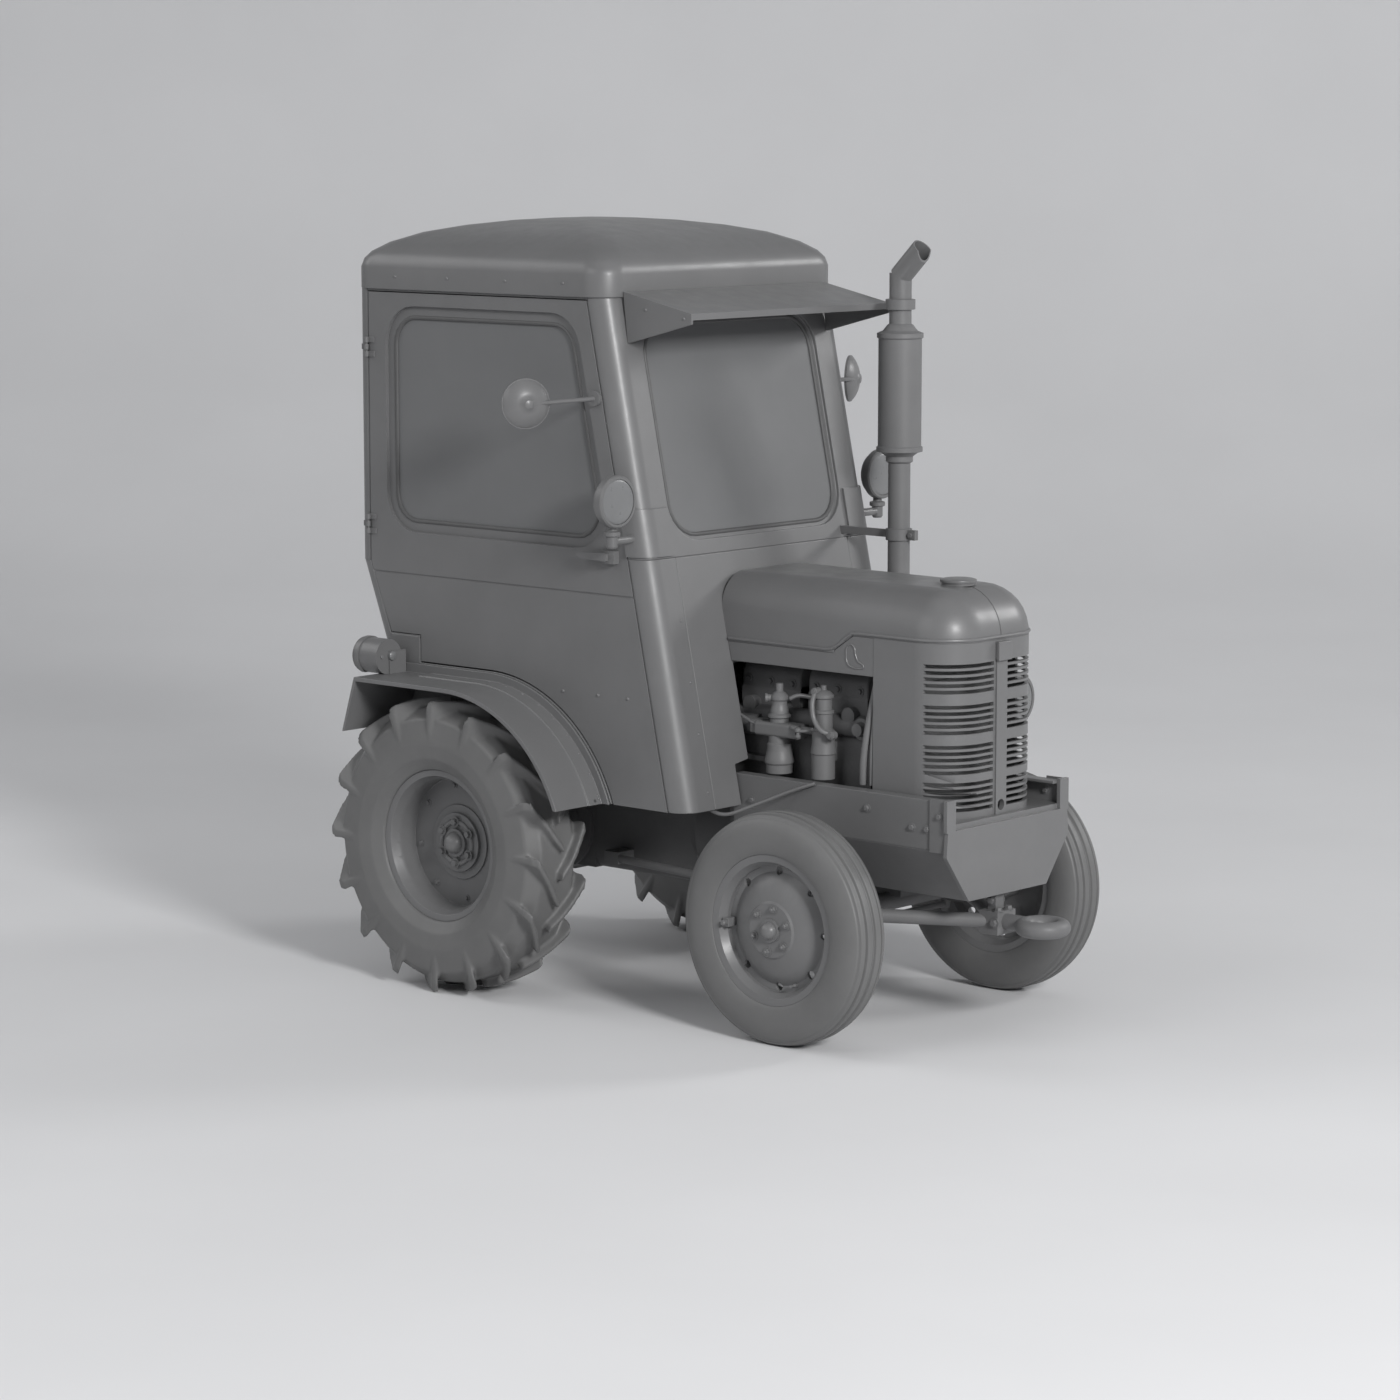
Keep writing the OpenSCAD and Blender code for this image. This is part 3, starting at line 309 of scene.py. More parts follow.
def pipe(bm, path, radius):
    """A round bar of that radius in millimetres along a line of points, closed at both ends."""
    radius /= 1000
    turn = [2 * math.pi * k / PIPE_SIDES for k in range(PIPE_SIDES)]
    rings = []
    side = None
    for i, point in enumerate(path):
        ahead = (path[min(i + 1, len(path) - 1)] - path[max(i - 1, 0)]).normalized()
        if side is None:
            side = ahead.orthogonal().normalized()
        side = (side - ahead * side.dot(ahead)).normalized()
        over = ahead.cross(side)
        ring = [point + radius * (math.cos(a) * side + math.sin(a) * over) for a in turn]
        rings.append([bm.verts.new(p) for p in ring])
    for low, high in zip(rings, rings[1:]):
        for i in range(PIPE_SIDES):
            j = (i + 1) % PIPE_SIDES
            bm.faces.new((low[i], low[j], high[j], high[i]))
    bm.faces.new(rings[0])
    bm.faces.new(rings[-1])


def slab(bm, outline, place, depth):
    """A flat outline, in millimetres, made a plate of that depth along the place's +Z."""
    low, high = (
        [bm.verts.new(place @ Vector((x / 1000, y / 1000, z / 1000))) for x, y in outline]
        for z in (0, depth))
    bm.faces.new(low)
    bm.faces.new(high)
    for i in range(len(outline)):
        j = (i + 1) % len(outline)
        bm.faces.new((low[i], low[j], high[j], high[i]))


def upright(bm, outline, side, inner, outer):
    """A plate from an outline in station and height, between two distances from the middle."""
    turn = Matrix(((1, 0, 0, 0), (0, 0, -1, 0), (0, 1, 0, 0), (0, 0, 0, 1)))
    foot = station(0, -inner if side < 0 else outer, 0)
    slab(bm, outline, Matrix.Translation(foot) @ turn, outer - inner)


def lengthwise(bm, outline, x, length):
    """A bar along the tractor from a station on: its outline is place from the middle and height."""
    turn = Matrix(((0, 0, 1, 0), (1, 0, 0, 0), (0, 1, 0, 0), (0, 0, 0, 1)))
    slab(bm, outline, Matrix.Translation(station(x, 0, 0)) @ turn, length)


def eased_corners(low, high, r, steps=6):
    """Outline of a rectangle between two corners, rounded at all four."""
    (x0, y0), (x1, y1) = low, high
    hearts = ((x1 - r, y1 - r), (x0 + r, y1 - r), (x0 + r, y0 + r), (x1 - r, y0 + r))
    return [
        (x + r * math.cos(a), y + r * math.sin(a))
        for i, (x, y) in enumerate(hearts)
        for a in (math.pi / 2 * (i + k / steps) for k in range(steps + 1))]


def block(bm, low, high):
    """A box between two corners, whose edges are rounded when the piece is finished."""
    width, depth, height = (abs(b - a) * 1000 for a, b in zip(low, high))
    slab(bm, [(0, 0), (width, 0), (width, depth), (0, depth)], Matrix.Translation(low), height)


def mesh_of(name, bm):
    """Ends a bmesh as a mesh of that name."""
    mesh = bpy.data.meshes.new(name)
    bm.to_mesh(mesh)
    bm.free()
    return mesh


def smooth(mesh):
    for face in mesh.polygons:
        face.use_smooth = True


def stand(name, mesh):
    obj = bpy.data.objects.new(name, mesh)
    bpy.context.scene.collection.objects.link(obj)
    return obj


def plain(obj):
    """The evaluated object as a plain mesh, with its modifiers taken off."""
    done = bpy.data.meshes.new_from_object(obj.evaluated_get(bpy.context.evaluated_depsgraph_get()))
    done.name = obj.name
    obj.modifiers.clear()
    old = obj.data
    obj.data = done
    bpy.data.meshes.remove(old)


def round_edges(obj, width):
    """Rounds the sharp edges and smooths the rest."""
    smooth(obj.data)
    bevel = obj.modifiers.new("edges", "BEVEL")
    bevel.width = width
    bevel.segments = BEVEL_SEGMENTS
    bevel.limit_method = "ANGLE"
    bevel.angle_limit = BEVEL_ANGLE
    bevel.miter_outer = "MITER_ARC"
    bevel.harden_normals = True
    weigh = obj.modifiers.new("weigh", "WEIGHTED_NORMAL")
    weigh.keep_sharp = True
    plain(obj)


def fit(obj, finish, node):
    """Gives a finished piece its finish and its node's body."""
    obj.data.materials.clear()
    obj.data.materials.append(FINISH[finish])
    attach(obj, BODY_OF[node])


def piece(name, bm, node, finish, soften=0.0, sharp=SHARP):
    """A mesh made by hand that rides with a CAD node's body."""
    bmesh.ops.remove_doubles(bm, verts=bm.verts, dist=1e-6)
    bmesh.ops.recalc_face_normals(bm, faces=bm.faces)
    obj = stand(name, mesh_of(name, bm))
    if soften:
        round_edges(obj, soften)
    else:
        smooth(obj.data)
        obj.data.set_sharp_from_angle(angle=math.radians(sharp))
    fit(obj, finish, node)
    return obj


def merged(node, flat=FLAT):
    """A copy of a CAD node's mesh with its triangles joined and its flat faces whole."""
    bm = bmesh.new()
    bm.from_mesh(frame["nodes"][node].data)
    bmesh.ops.remove_doubles(bm, verts=bm.verts, dist=MERGE)
    bmesh.ops.dissolve_degenerate(bm, edges=bm.edges, dist=MERGE / 2)
    if flat:
        bmesh.ops.dissolve_limit(bm, angle_limit=flat, verts=bm.verts, edges=bm.edges)
    return mesh_of(node + "_skin", bm)


def skin(node, finish):
    """The node's own form with its edges rounded as a press or a mould leaves them."""
    obj = stand(node + "_skin", merged(node))
    round_edges(obj, sizes().edge)
    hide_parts(node)
    fit(obj, finish, node)


def surface(node):
    """The node's faces, to find where a line meets them."""
    mesh = frame["nodes"][node].data
    return BVHTree.FromPolygons([v.co for v in mesh.vertices], [f.vertices[:] for f in mesh.polygons])


# Repeats

HEAD_SIDES, HEAD_TAPER, HEAD_HEIGHT = 6, 0.86, 0.75
WASHER_SIDES, WASHER_RADIUS, WASHER_HEIGHT = 18, 1.5, 0.22
DOME_SEGMENTS, DOME_RINGS, DOME_HEIGHT = 12, 8, 0.6
BEAD_SIDES = 10


def group_tree(name, *labels):
    """A geometry tree with a geometry input, the named sizes, a finish and one geometry output."""
    tree = bpy.data.node_groups.new(name, "GeometryNodeTree")
    tree.interface.new_socket("Geometry", in_out="INPUT", socket_type="NodeSocketGeometry")
    for label in labels:
        tree.interface.new_socket(label, in_out="INPUT", socket_type="NodeSocketFloat")
    tree.interface.new_socket("Finish", in_out="INPUT", socket_type="NodeSocketMaterial")
    tree.interface.new_socket("Geometry", in_out="OUTPUT", socket_type="NodeSocketGeometry")
    return tree, add(tree, "NodeGroupInput"), add(tree, "NodeGroupOutput")


def close_tree(tree, given, result, geometry):
    """Ends a tree: real geometry with its finish."""
    real = add(tree, "GeometryNodeRealizeInstances")
    dress = add(tree, "GeometryNodeSetMaterial")
    link(tree, geometry, real.inputs["Geometry"])
    link(tree, real.outputs["Geometry"], dress.inputs["Geometry"])
    link(tree, given.outputs["Finish"], dress.inputs["Material"])
    link(tree, dress.outputs["Geometry"], result.inputs["Geometry"])
    return tree


def times(tree, source, share):
    """A size times a share."""
    node = add(tree, "ShaderNodeMath", operation="MULTIPLY")
    node.inputs[1].default_value = share
    link(tree, source, node.inputs[0])
    return node.outputs[0]


def raised(tree, geometry, height):
    """Geometry moved up by a height."""
    lift = add(tree, "ShaderNodeCombineXYZ")
    move = add(tree, "GeometryNodeTransform")
    link(tree, height, lift.inputs["Z"])
    link(tree, geometry, move.inputs["Geometry"])
    link(tree, lift.outputs[0], move.inputs["Translation"])
    return move.outputs["Geometry"]


def placed(tree, given, shape):
    """Instances of a shape on the points, along their facing."""
    facing = add(tree, "GeometryNodeInputNamedAttribute", data_type="FLOAT_VECTOR")
    facing.inputs["Name"].default_value = "facing"
    turn = add(tree, "FunctionNodeAlignRotationToVector", axis="Z")
    link(tree, facing.outputs["Attribute"], turn.inputs["Vector"])
    points = add(tree, "GeometryNodeMeshToPoints")
    link(tree, given.outputs["Geometry"], points.inputs["Mesh"])
    spread = add(tree, "GeometryNodeInstanceOnPoints")
    link(tree, points.outputs["Points"], spread.inputs["Points"])
    link(tree, shape, spread.inputs["Instance"])
    link(tree, turn.outputs["Rotation"], spread.inputs["Rotation"])
    return spread.outputs["Instances"]


def head_tree():
    """Hexagon heads on washers, one on each point, turned to the point's facing."""
    tree, given, result = group_tree(
        "Bolt heads", "Head radius", "Head height", "Washer radius", "Washer height")
    size = given.outputs
    washer = add(tree, "GeometryNodeMeshCylinder")
    washer.inputs["Vertices"].default_value = WASHER_SIDES
    link(tree, size["Washer radius"], washer.inputs["Radius"])
    link(tree, size["Washer height"], washer.inputs["Depth"])
    head = add(tree, "GeometryNodeMeshCone")
    head.inputs["Vertices"].default_value = HEAD_SIDES
    link(tree, times(tree, size["Head radius"], HEAD_TAPER), head.inputs["Radius Top"])
    link(tree, size["Head radius"], head.inputs["Radius Bottom"])
    link(tree, size["Head height"], head.inputs["Depth"])
    half = times(tree, size["Washer height"], 0.5)
    join = add(tree, "GeometryNodeJoinGeometry")
    link(tree, raised(tree, washer.outputs["Mesh"], half), join.inputs["Geometry"])
    link(tree, raised(tree, head.outputs["Mesh"], size["Washer height"]), join.inputs["Geometry"])
    return close_tree(tree, given, result, placed(tree, given, join.outputs["Geometry"]))


def dome_tree():
    """Round screw heads, one on each point."""
    tree, given, result = group_tree("Round heads", "Radius")
    ball = add(tree, "GeometryNodeMeshUVSphere")
    ball.inputs["Segments"].default_value = DOME_SEGMENTS
    ball.inputs["Rings"].default_value = DOME_RINGS
    link(tree, given.outputs["Radius"], ball.inputs["Radius"])
    flat = add(tree, "GeometryNodeTransform")
    flat.inputs["Scale"].default_value = (1, 1, DOME_HEIGHT)
    link(tree, ball.outputs["Mesh"], flat.inputs["Geometry"])
    return close_tree(tree, given, result, placed(tree, given, flat.outputs["Geometry"]))


def bead_tree():
    """A round bead along the edges of a mesh."""
    tree, given, result = group_tree("Beads", "Radius")
    line = add(tree, "GeometryNodeMeshToCurve")
    ring = add(tree, "GeometryNodeCurvePrimitiveCircle")
    ring.inputs["Resolution"].default_value = BEAD_SIDES
    sweep = add(tree, "GeometryNodeCurveToMesh")
    sweep.inputs["Fill Caps"].default_value = True
    link(tree, given.outputs["Geometry"], line.inputs["Mesh"])
    link(tree, given.outputs["Radius"], ring.inputs["Radius"])
    link(tree, line.outputs["Curve"], sweep.inputs["Curve"])
    link(tree, ring.outputs["Curve"], sweep.inputs["Profile Curve"])
    return close_tree(tree, given, result, sweep.outputs["Mesh"])


def grow(name, mesh, tree, values, node, finish):
    """Runs a tree on a mesh and keeps the result as a plain piece of the node's body."""
    obj = stand(name, mesh)
    modifier = obj.modifiers.new(tree.name, "NODES")
    modifier.node_group = tree
    values = {**values, "Finish": FINISH[finish]}
    for item in tree.interface.items_tree:
        if item.in_out == "INPUT" and item.name in values:
            modifier[item.identifier] = values[item.name]
    plain(obj)
    smooth(obj.data)
    obj.data.set_sharp_from_angle(angle=math.radians(SHARP))
    fit(obj, finish, node)


def point_mesh(name, spots):
    """Loose points with the way that each faces."""
    mesh = bpy.data.meshes.new(name)
    mesh.from_pydata([tuple(p) for p, _ in spots], [], [])
    facing = mesh.attributes.new("facing", "FLOAT_VECTOR", "POINT")
    for item, (_, way) in zip(facing.data, spots):
        item.vector = way
    return mesh


def bolts(name, spots, node, size=1.0, finish="worn_paint"):
    """A hexagon head on each spot, of a size that is a share of the bolt radius."""
    r = sizes().bolt_radius * size
    values = {"Head radius": r, "Head height": r * HEAD_HEIGHT,
              "Washer radius": r * WASHER_RADIUS, "Washer height": r * WASHER_HEIGHT}
    grow(name, point_mesh(name, spots), TREES["heads"], values, node, finish)


def screws(name, spots, node, size=1.0):
    """A round head on each spot, of a size that is a share of the rivet radius."""
    values = {"Radius": sizes().rivet_radius * size}
    grow(name, point_mesh(name, spots), TREES["domes"], values, node, "satin_paint")


def beads(name, lines, node, finish, radius, closed=True):
    """A bead of that radius, in metres, along each line of points."""
    bm = bmesh.new()
    for line in lines:
        verts = [bm.verts.new(p) for p in line]
        count = len(verts)
        for i in range(count if closed else count - 1):
            bm.edges.new((verts[i], verts[(i + 1) % count]))
    grow(name, mesh_of(name, bm), TREES["beads"], {"Radius": radius}, node, finish)


def both_sides(spots):
    """Points given on the left side, as station and facing, each with its mirror image first."""
    found = []
    for (x, y, z), (fx, fy, fz) in spots:
        found.append((station(x, -y, z), (fx, -fy, fz)))
        found.append((station(x, y, z), (fx, fy, fz)))
    return found


def wheel_spot(tyre, side, radius, turn, out):
    """A point on a wheel: millimetres from its axle, degrees round it and millimetres outward."""
    a = math.radians(turn)
    return middle(tyre) + Vector((radius * math.cos(a), side * out, radius * math.sin(a))) / 1000


def bolt_ring(tyre, side, radius, count, start, out):
    """Even spots round a wheel that face outward, the first of them at start degrees."""
    way = Vector((0, side, 0))
    return [(wheel_spot(tyre, side, radius, 360 / count * k + start, out), way) for k in range(count)]


# CAD nodes

SKINS = {
    "satin_paint": (
        "hood", "hood_strips", "nose_cowl", "windscreen_frame", "bulkhead", "corner_panels", "cab_rear",
        "cab_rear_lower", "roof", "sun_visor", "fender_right", "fender_left", "door_right", "door_left",
        "front_plate", "frame_rails", "front_rim_right", "front_rim_left", "rear_rim_right",
        "rear_rim_left", "door_fittings_right", "door_fittings_left", "lamps"),
    "worn_paint": (
        "belly_pan", "tow_frame", "stay_rods", "exhaust_stack", "pump_set", "tie_rod", "drawbar",
        "radiator"),
    "rough_casting": (
        "engine", "gearbox", "rear_axle", "axle_beam", "knuckle_right", "knuckle_left", "cab_floor",
        "steering_column", "controls", "seat"),
    "tyre_rubber": ("front_tyre_right", "front_tyre_left", "steering_wheel"),
}
# Each pane with the way that it faces
PANES = (
    ("windscreen", CAB_FACING), ("rear_window", BACKWARD), ("door_glass_right", RIGHT),
    ("door_glass_left", LEFT))


class TRACTOR_OT_sheet_and_castings(Operator):
    """Give the CAD nodes their finish, and round the edges of pressed and cast ones"""

    bl_idname = "tractor.sheet_and_castings"
    bl_label = "Sheet metal and castings"

    def execute(self, context):
        make_finishes()
        TREES.update(heads=head_tree(), domes=dome_tree(), beads=bead_tree())
        for finish, nodes in SKINS.items():
            for node in nodes:
                skin(node, finish)
        for node, _ in PANES:
            mesh = frame["nodes"][node].data
            mesh.materials.clear()
            mesh.materials.append(FINISH["pane_glass"])
        return {"FINISHED"}


class TRACTOR_OT_rear_tyres(Operator):
    """Mould the rear tyres: lugs that run out smoothly into the carcass"""

    bl_idname = "tractor.rear_tyres"
    bl_label = "Rear tyres"

    def execute(self, context):
        for side, _ in SIDES:
            node = "rear_tyre_" + side
            obj = stand(node + "_mould", merged(node, flat=0))
            mould = obj.modifiers.new("mould", "REMESH")
            mould.mode = "VOXEL"
            mould.voxel_size = sizes().tyre_grain
            mould.use_smooth_shade = True
            ease = obj.modifiers.new("ease", "SMOOTH")
            ease.factor = 0.5
            ease.iterations = 3
            plain(obj)
            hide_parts(node)
            fit(obj, "tyre_rubber", node)
        return {"FINISHED"}


# Seals and wheels

CLIP_STUD = [(0, 0), (9, 0), (9, 16), (6, 18), (0, 18)]
VALVE = [(0, 0), (6, 0), (6, 14), (4, 16), (4, 26), (5, 27), (5, 34), (0, 35)]
HUB_CIRCLE, DISC_CIRCLE = 68, 184


def rim_line(node, normal):
    """The outline of a pane on the side that the normal names, in order round its middle."""
    normal = Vector(normal).normalized()
    spots = [v.co.copy() for v in frame["nodes"][node].data.vertices]
    front = max(p.dot(normal) for p in spots)
    face = {tuple(round(c, 5) for c in p): p for p in spots if front - p.dot(normal) < 1e-4}
    line = list(face.values())
    heart = sum(line, Vector()) / len(line)
    across = normal.orthogonal().normalized()
    over = normal.cross(across)
    return sorted(line, key=lambda p: math.atan2((p - heart).dot(over), (p - heart).dot(across)))


class TRACTOR_OT_seals(Operator):
    """Lay rubber seals round the panes"""

    bl_idname = "tractor.seals"
    bl_label = "Window seals"

    def execute(self, context):
        for node, normal in PANES:
            name = node.replace("glass_", "seal_") if "glass_" in node else node + "_seal"
            beads(name, [rim_line(node, normal)], node, "seal_rubber", sizes().seal_radius)
        return {"FINISHED"}


class TRACTOR_OT_wheel_fittings(Operator):
    """Put nuts, studs, clips and valves on the wheels"""

    bl_idname = "tractor.wheel_fittings"
    bl_label = "Wheel nuts and clips"

    def execute(self, context):
        for name, side in SIDES:
            out = Vector((0, side, 0))
            tyre, rim = "front_tyre_" + name, "front_rim_" + name
            nuts = bolt_ring(tyre, side, HUB_CIRCLE, count=6, start=20, out=62)
            bolts("front_wheel_nuts_" + name, nuts, rim, size=1.15)
            studs = [(p + out * 0.0105, way) for p, way in nuts]
            screws("front_wheel_studs_" + name, studs, rim, size=1.1)
            bm = bmesh.new()
            foot = wheel_spot(tyre, side, radius=196, turn=180, out=24)
            reach = side * 0.03
            block(bm, foot + Vector((-0.004, min(0, reach), -0.014)),
                  foot + Vector((0.02, max(0, reach), 0.014)))
            turned(bm, CLIP_STUD, foot + Vector((0.008, side * 0.028, 0)), out, steps=12)
            piece("front_wheel_clip_" + name, bm, rim, "satin_paint", soften=0.002)
            bm = bmesh.new()
            turned(bm, VALVE, wheel_spot(tyre, side, radius=180, turn=292, out=14), out, steps=12)
            piece("front_wheel_valve_" + name, bm, rim, "pipe_steel")
            tyre, rim = "rear_tyre_" + name, "rear_rim_" + name
            hub = bolt_ring(tyre, side, HUB_CIRCLE, count=6, start=30, out=9)
            bolts("rear_hub_bolts_" + name, hub, rim, size=1.3)
            disc = bolt_ring(tyre, side, DISC_CIRCLE, count=8, start=8, out=-16)
            bolts("rear_disc_bolts_" + name, disc, rim, size=0.9)
        return {"FINISHED"}


# Cab

MIRROR_X, MIRROR_Y, MIRROR_Z, MIRROR_TURN = 490, 800, 1930, math.radians(28)
MIRROR_GLASS = [(0, 34), (70, 34), (70, 35.5), (52, 36.6), (30, 37.4), (0, 38)]
MIRROR_BOWL = [
    (0, -8), (12, -8), (15, -6), (18, -2), (33, 1), (47, 6), (59, 12), (68, 18), (74.5, 23.5), (77, 27.5),
    (70, 30), (0, 30)]
RIVET_LINE = ARCH_RADIUS + 4
DOOR_FACE, DOOR_SCREW_Z = 560, 1005
DOOR_SETBACK, DOOR_FOOT = 71.6, 666


def fender_rivets():
    """Rivets along the arch of a fender, each facing away from the arch's middle."""
    found = []
    for k in range(9):
        a = math.radians(88 - 8 * k)
        x, z = ARCH_X + RIVET_LINE * math.cos(a), ARCH_Z + RIVET_LINE * math.sin(a)
        found.append(((x, 582, z), (math.cos(a), 0, math.sin(a))))
    return found


# Name, node, size, and places on the left side with the way that each faces
CAB_SCREWS = (
    ("roof_screws", "roof", 1.0, [((x, 570, 2292), LEFT) for x in (-329, -91, 168, 420)]),
    ("corner_screws", "corner_panels", 1.0,
     [((cab_front_x(z), 442, z), CAB_FACING) for z in (1250, 1060, 900, 720)]),
    ("visor_screws", "sun_visor", 1.0, [((850, 484, 2192), LEFT), ((690, 484, 2215), LEFT)]),
    ("fender_screws", "fender_right", 1.0, [((603, 610, 688), (1, 0, 0.05))]),
    ("fender_rivets", "fender_right", 0.8, fender_rivets()))


class TRACTOR_OT_cab_fittings(Operator):
    """Set the screws of the roof, doors, corner strips, fenders and visor, and the mirrors"""

    bl_idname = "tractor.cab_fittings"
    bl_label = "Cab fittings"

    def execute(self, context):
        for name, node, size, spots in CAB_SCREWS:
            screws(name, both_sides(spots), node, size)
        for name, side in SIDES:
            row = [(station(x, side * DOOR_FACE, DOOR_SCREW_Z), (0, side, 0)) for x in (403, 554, 682)]
            screws("door_screws_" + name, row, "door_" + name, size=1.1)
            node = "door_fittings_" + name
            back = Vector((-math.cos(MIRROR_TURN), -side * math.sin(MIRROR_TURN), 0))
            heart = station(MIRROR_X, side * MIRROR_Y, MIRROR_Z)
            bm = bmesh.new()
            turned(bm, MIRROR_GLASS, heart, back, steps=40)
            piece("mirror_glass_" + name, bm, node, "lens_glass")
            bm = bmesh.new()
            turned(bm, MIRROR_BOWL, heart, back, steps=48)
            piece("mirror_bowl_" + name, bm, node, "satin_paint", sharp=50)
        return {"FINISHED"}


def door_front(z, out):
    """A point that far ahead of the door's leaning front edge at a height."""
    return cab_front_x(z) - DOOR_SETBACK + out, z


def door_arch(rise):
    """A line that far outside the door's lower edge where it follows the wheel arch."""
    reach = ARCH_RADIUS + rise
    low = math.asin((DOOR_FOOT - ARCH_Z) / reach)
    turns = [math.pi / 2 + (low - math.pi / 2) * k / 24 for k in range(25)]
    bow = [(ARCH_X + reach * math.cos(a), ARCH_Z + reach * math.sin(a)) for a in turns]
    return [(-238, ARCH_Z + reach), (-80, ARCH_Z + reach), *bow]


# Outlines of the straight strips, in station and height: rear, rear slant, step, step's front, front, top
STRIPS = (
    [(-476, 1358), (-467.5, 1358), (-467.5, 2241), (-476, 2241)],
    [(-383.5, 1130), (-375.2, 1130), (-462.7, 1358), (-471, 1358)],
    [(-390, 1116), (-238, 1116), (-238, 1127), (-390, 1127)],
    [(-247, 1010), (-238, 1010), (-238, 1124), (-247, 1124)],
    [door_front(668, -3.6), door_front(668, 6), door_front(2241, 6), door_front(2241, -3.6)],
    [(-470, 2243), door_front(2243, 0), door_front(2250, 0), (-470, 2250)])


class TRACTOR_OT_weather_strips(Operator):
    """Close the gaps round the doors with soft strips on the cab"""

    bl_idname = "tractor.weather_strips"
    bl_label = "Weather strips"

    def execute(self, context):
        for name, side in SIDES:
            bm = bmesh.new()
            for outline in STRIPS:
                upright(bm, outline, side, inner=534, outer=558)
            upright(bm, door_arch(33) + door_arch(20)[::-1], side, inner=535, outer=564)
            piece("door_strips_" + name, bm, "cab_rear", "satin_paint", soften=0.001)
        return {"FINISHED"}


# Bonnet

BONNET_HALF, BONNET_NOSE, BONNET_BEND = 240, 1715, 150
ROLL_Z, ROLL_RISE = 1229, 9
# The bonnet's lower edge on one side and a mark on its strips, in station and height
BONNET_EDGE = [
    (cab_front_x(1179) + 6, 1170), (1000, 1170), (1225, 1170), (1250, 1176), (1275, 1192), (1302, 1214),
    (1326, 1228), (1360, ROLL_Z), (BONNET_NOSE - BONNET_BEND, ROLL_Z)]
STRIP_MARK = [
    (1300, 1186), (1308, 1198), (1322, 1201), (1333, 1190), (1337, 1170), (1347, 1151), (1366, 1142),
    (1366, 1132), (1340, 1129), (1314, 1134), (1301, 1152)]
FILLER_CAP = [(0, 0), (52, 0), (52, 8), (56, 9), (57, 13), (56, 17), (46, 20), (22, 21.5), (0, 22)]


def bonnet_roll():
    """The line of the bonnet's rolled edge, from the cab round the nose and back."""
    right = [station(x, -BONNET_HALF, z + ROLL_RISE) for x, z in BONNET_EDGE]
    for k in range(1, 10):
        a = math.pi / 2 * k / 10
        x = BONNET_NOSE - BONNET_BEND + BONNET_BEND * math.sin(a)
        y = -BONNET_HALF + BONNET_BEND - BONNET_BEND * math.cos(a)
        right.append(station(x, y, ROLL_Z + ROLL_RISE))
    front = [station(BONNET_NOSE, y, ROLL_Z + ROLL_RISE) for y in (-90, 0, 90)]
    return right + front + [Vector((p.x, -p.y, p.z)) for p in reversed(right)]


def bonnet_seam():
    """The line over the nose's middle, found on the bonnet's own surface."""
    hood = surface("hood")
    heart = station(1560, 0, 1236)
    found = []
    for k in range(31):
        a = math.radians(2 + 92 * k / 30)
        way = Vector((math.cos(a), 0, math.sin(a)))
        spot = hood.ray_cast(heart + way * 0.6, -way)[0]
        if spot:
            found.append(spot)
    return found


class TRACTOR_OT_bonnet_trim(Operator):
    """Roll the bonnet's edge, and add its seam, the strips' marks, the filler cap and the nose plate"""

    bl_idname = "tractor.bonnet_trim"
    bl_label = "Bonnet trim"

    def execute(self, context):
        beads("bonnet_roll", [bonnet_roll()], "hood", "satin_paint", radius=0.0055, closed=False)
        beads("bonnet_seam", [bonnet_seam()], "hood", "seal_rubber", radius=0.0016, closed=False)
        ring = (*STRIP_MARK, STRIP_MARK[0])
        marks = [eased([station(x, y, z) for x, z in ring], per_span=4)[:-1] for y in (-239, 239)]
        beads("strip_marks", marks, "hood_strips", "satin_paint", radius=0.0028)
        bm = bmesh.new()
        turned(bm, FILLER_CAP, station(1548, 0, 1383.5), UP, steps=48)
        piece("filler_cap", bm, "radiator", "satin_paint")
        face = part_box("nose_cowl")[1].x
        bm = bmesh.new()
        block(bm, Vector((face - 0.004, -0.032, 1.166)), Vector((face + 0.007, 0.032, 1.224)))
        piece("nose_plate", bm, "nose_cowl", "satin_paint", soften=0.002)
        return {"FINISHED"}


# Engine

GALLERY = [(0, 0), (29, 0), (35, 6), (35, 539), (29, 545), (0, 545)]
GALLERY_CAP = [(0, 0), (34, 0), (34, 10), (24, 12), (20, 22), (20, 34), (0, 36)]
TAP = [(0, 0), (8, 1), (10, 6), (5, 12), (5, 18), (11, 22), (11, 30), (5, 34), (0, 34)]
LOW_UNION = [(0, 0), (14, 0), (14, 20), (9, 22), (9, 28), (0, 29)]
HIGH_UNION = [(0, 0), (12, 0), (12, 22), (8, 24), (8, 30), (0, 31)]
FLANGED_UNION = [(0, 0), (11, 0), (11, 22), (14, 22), (14, 30), (0, 31)]


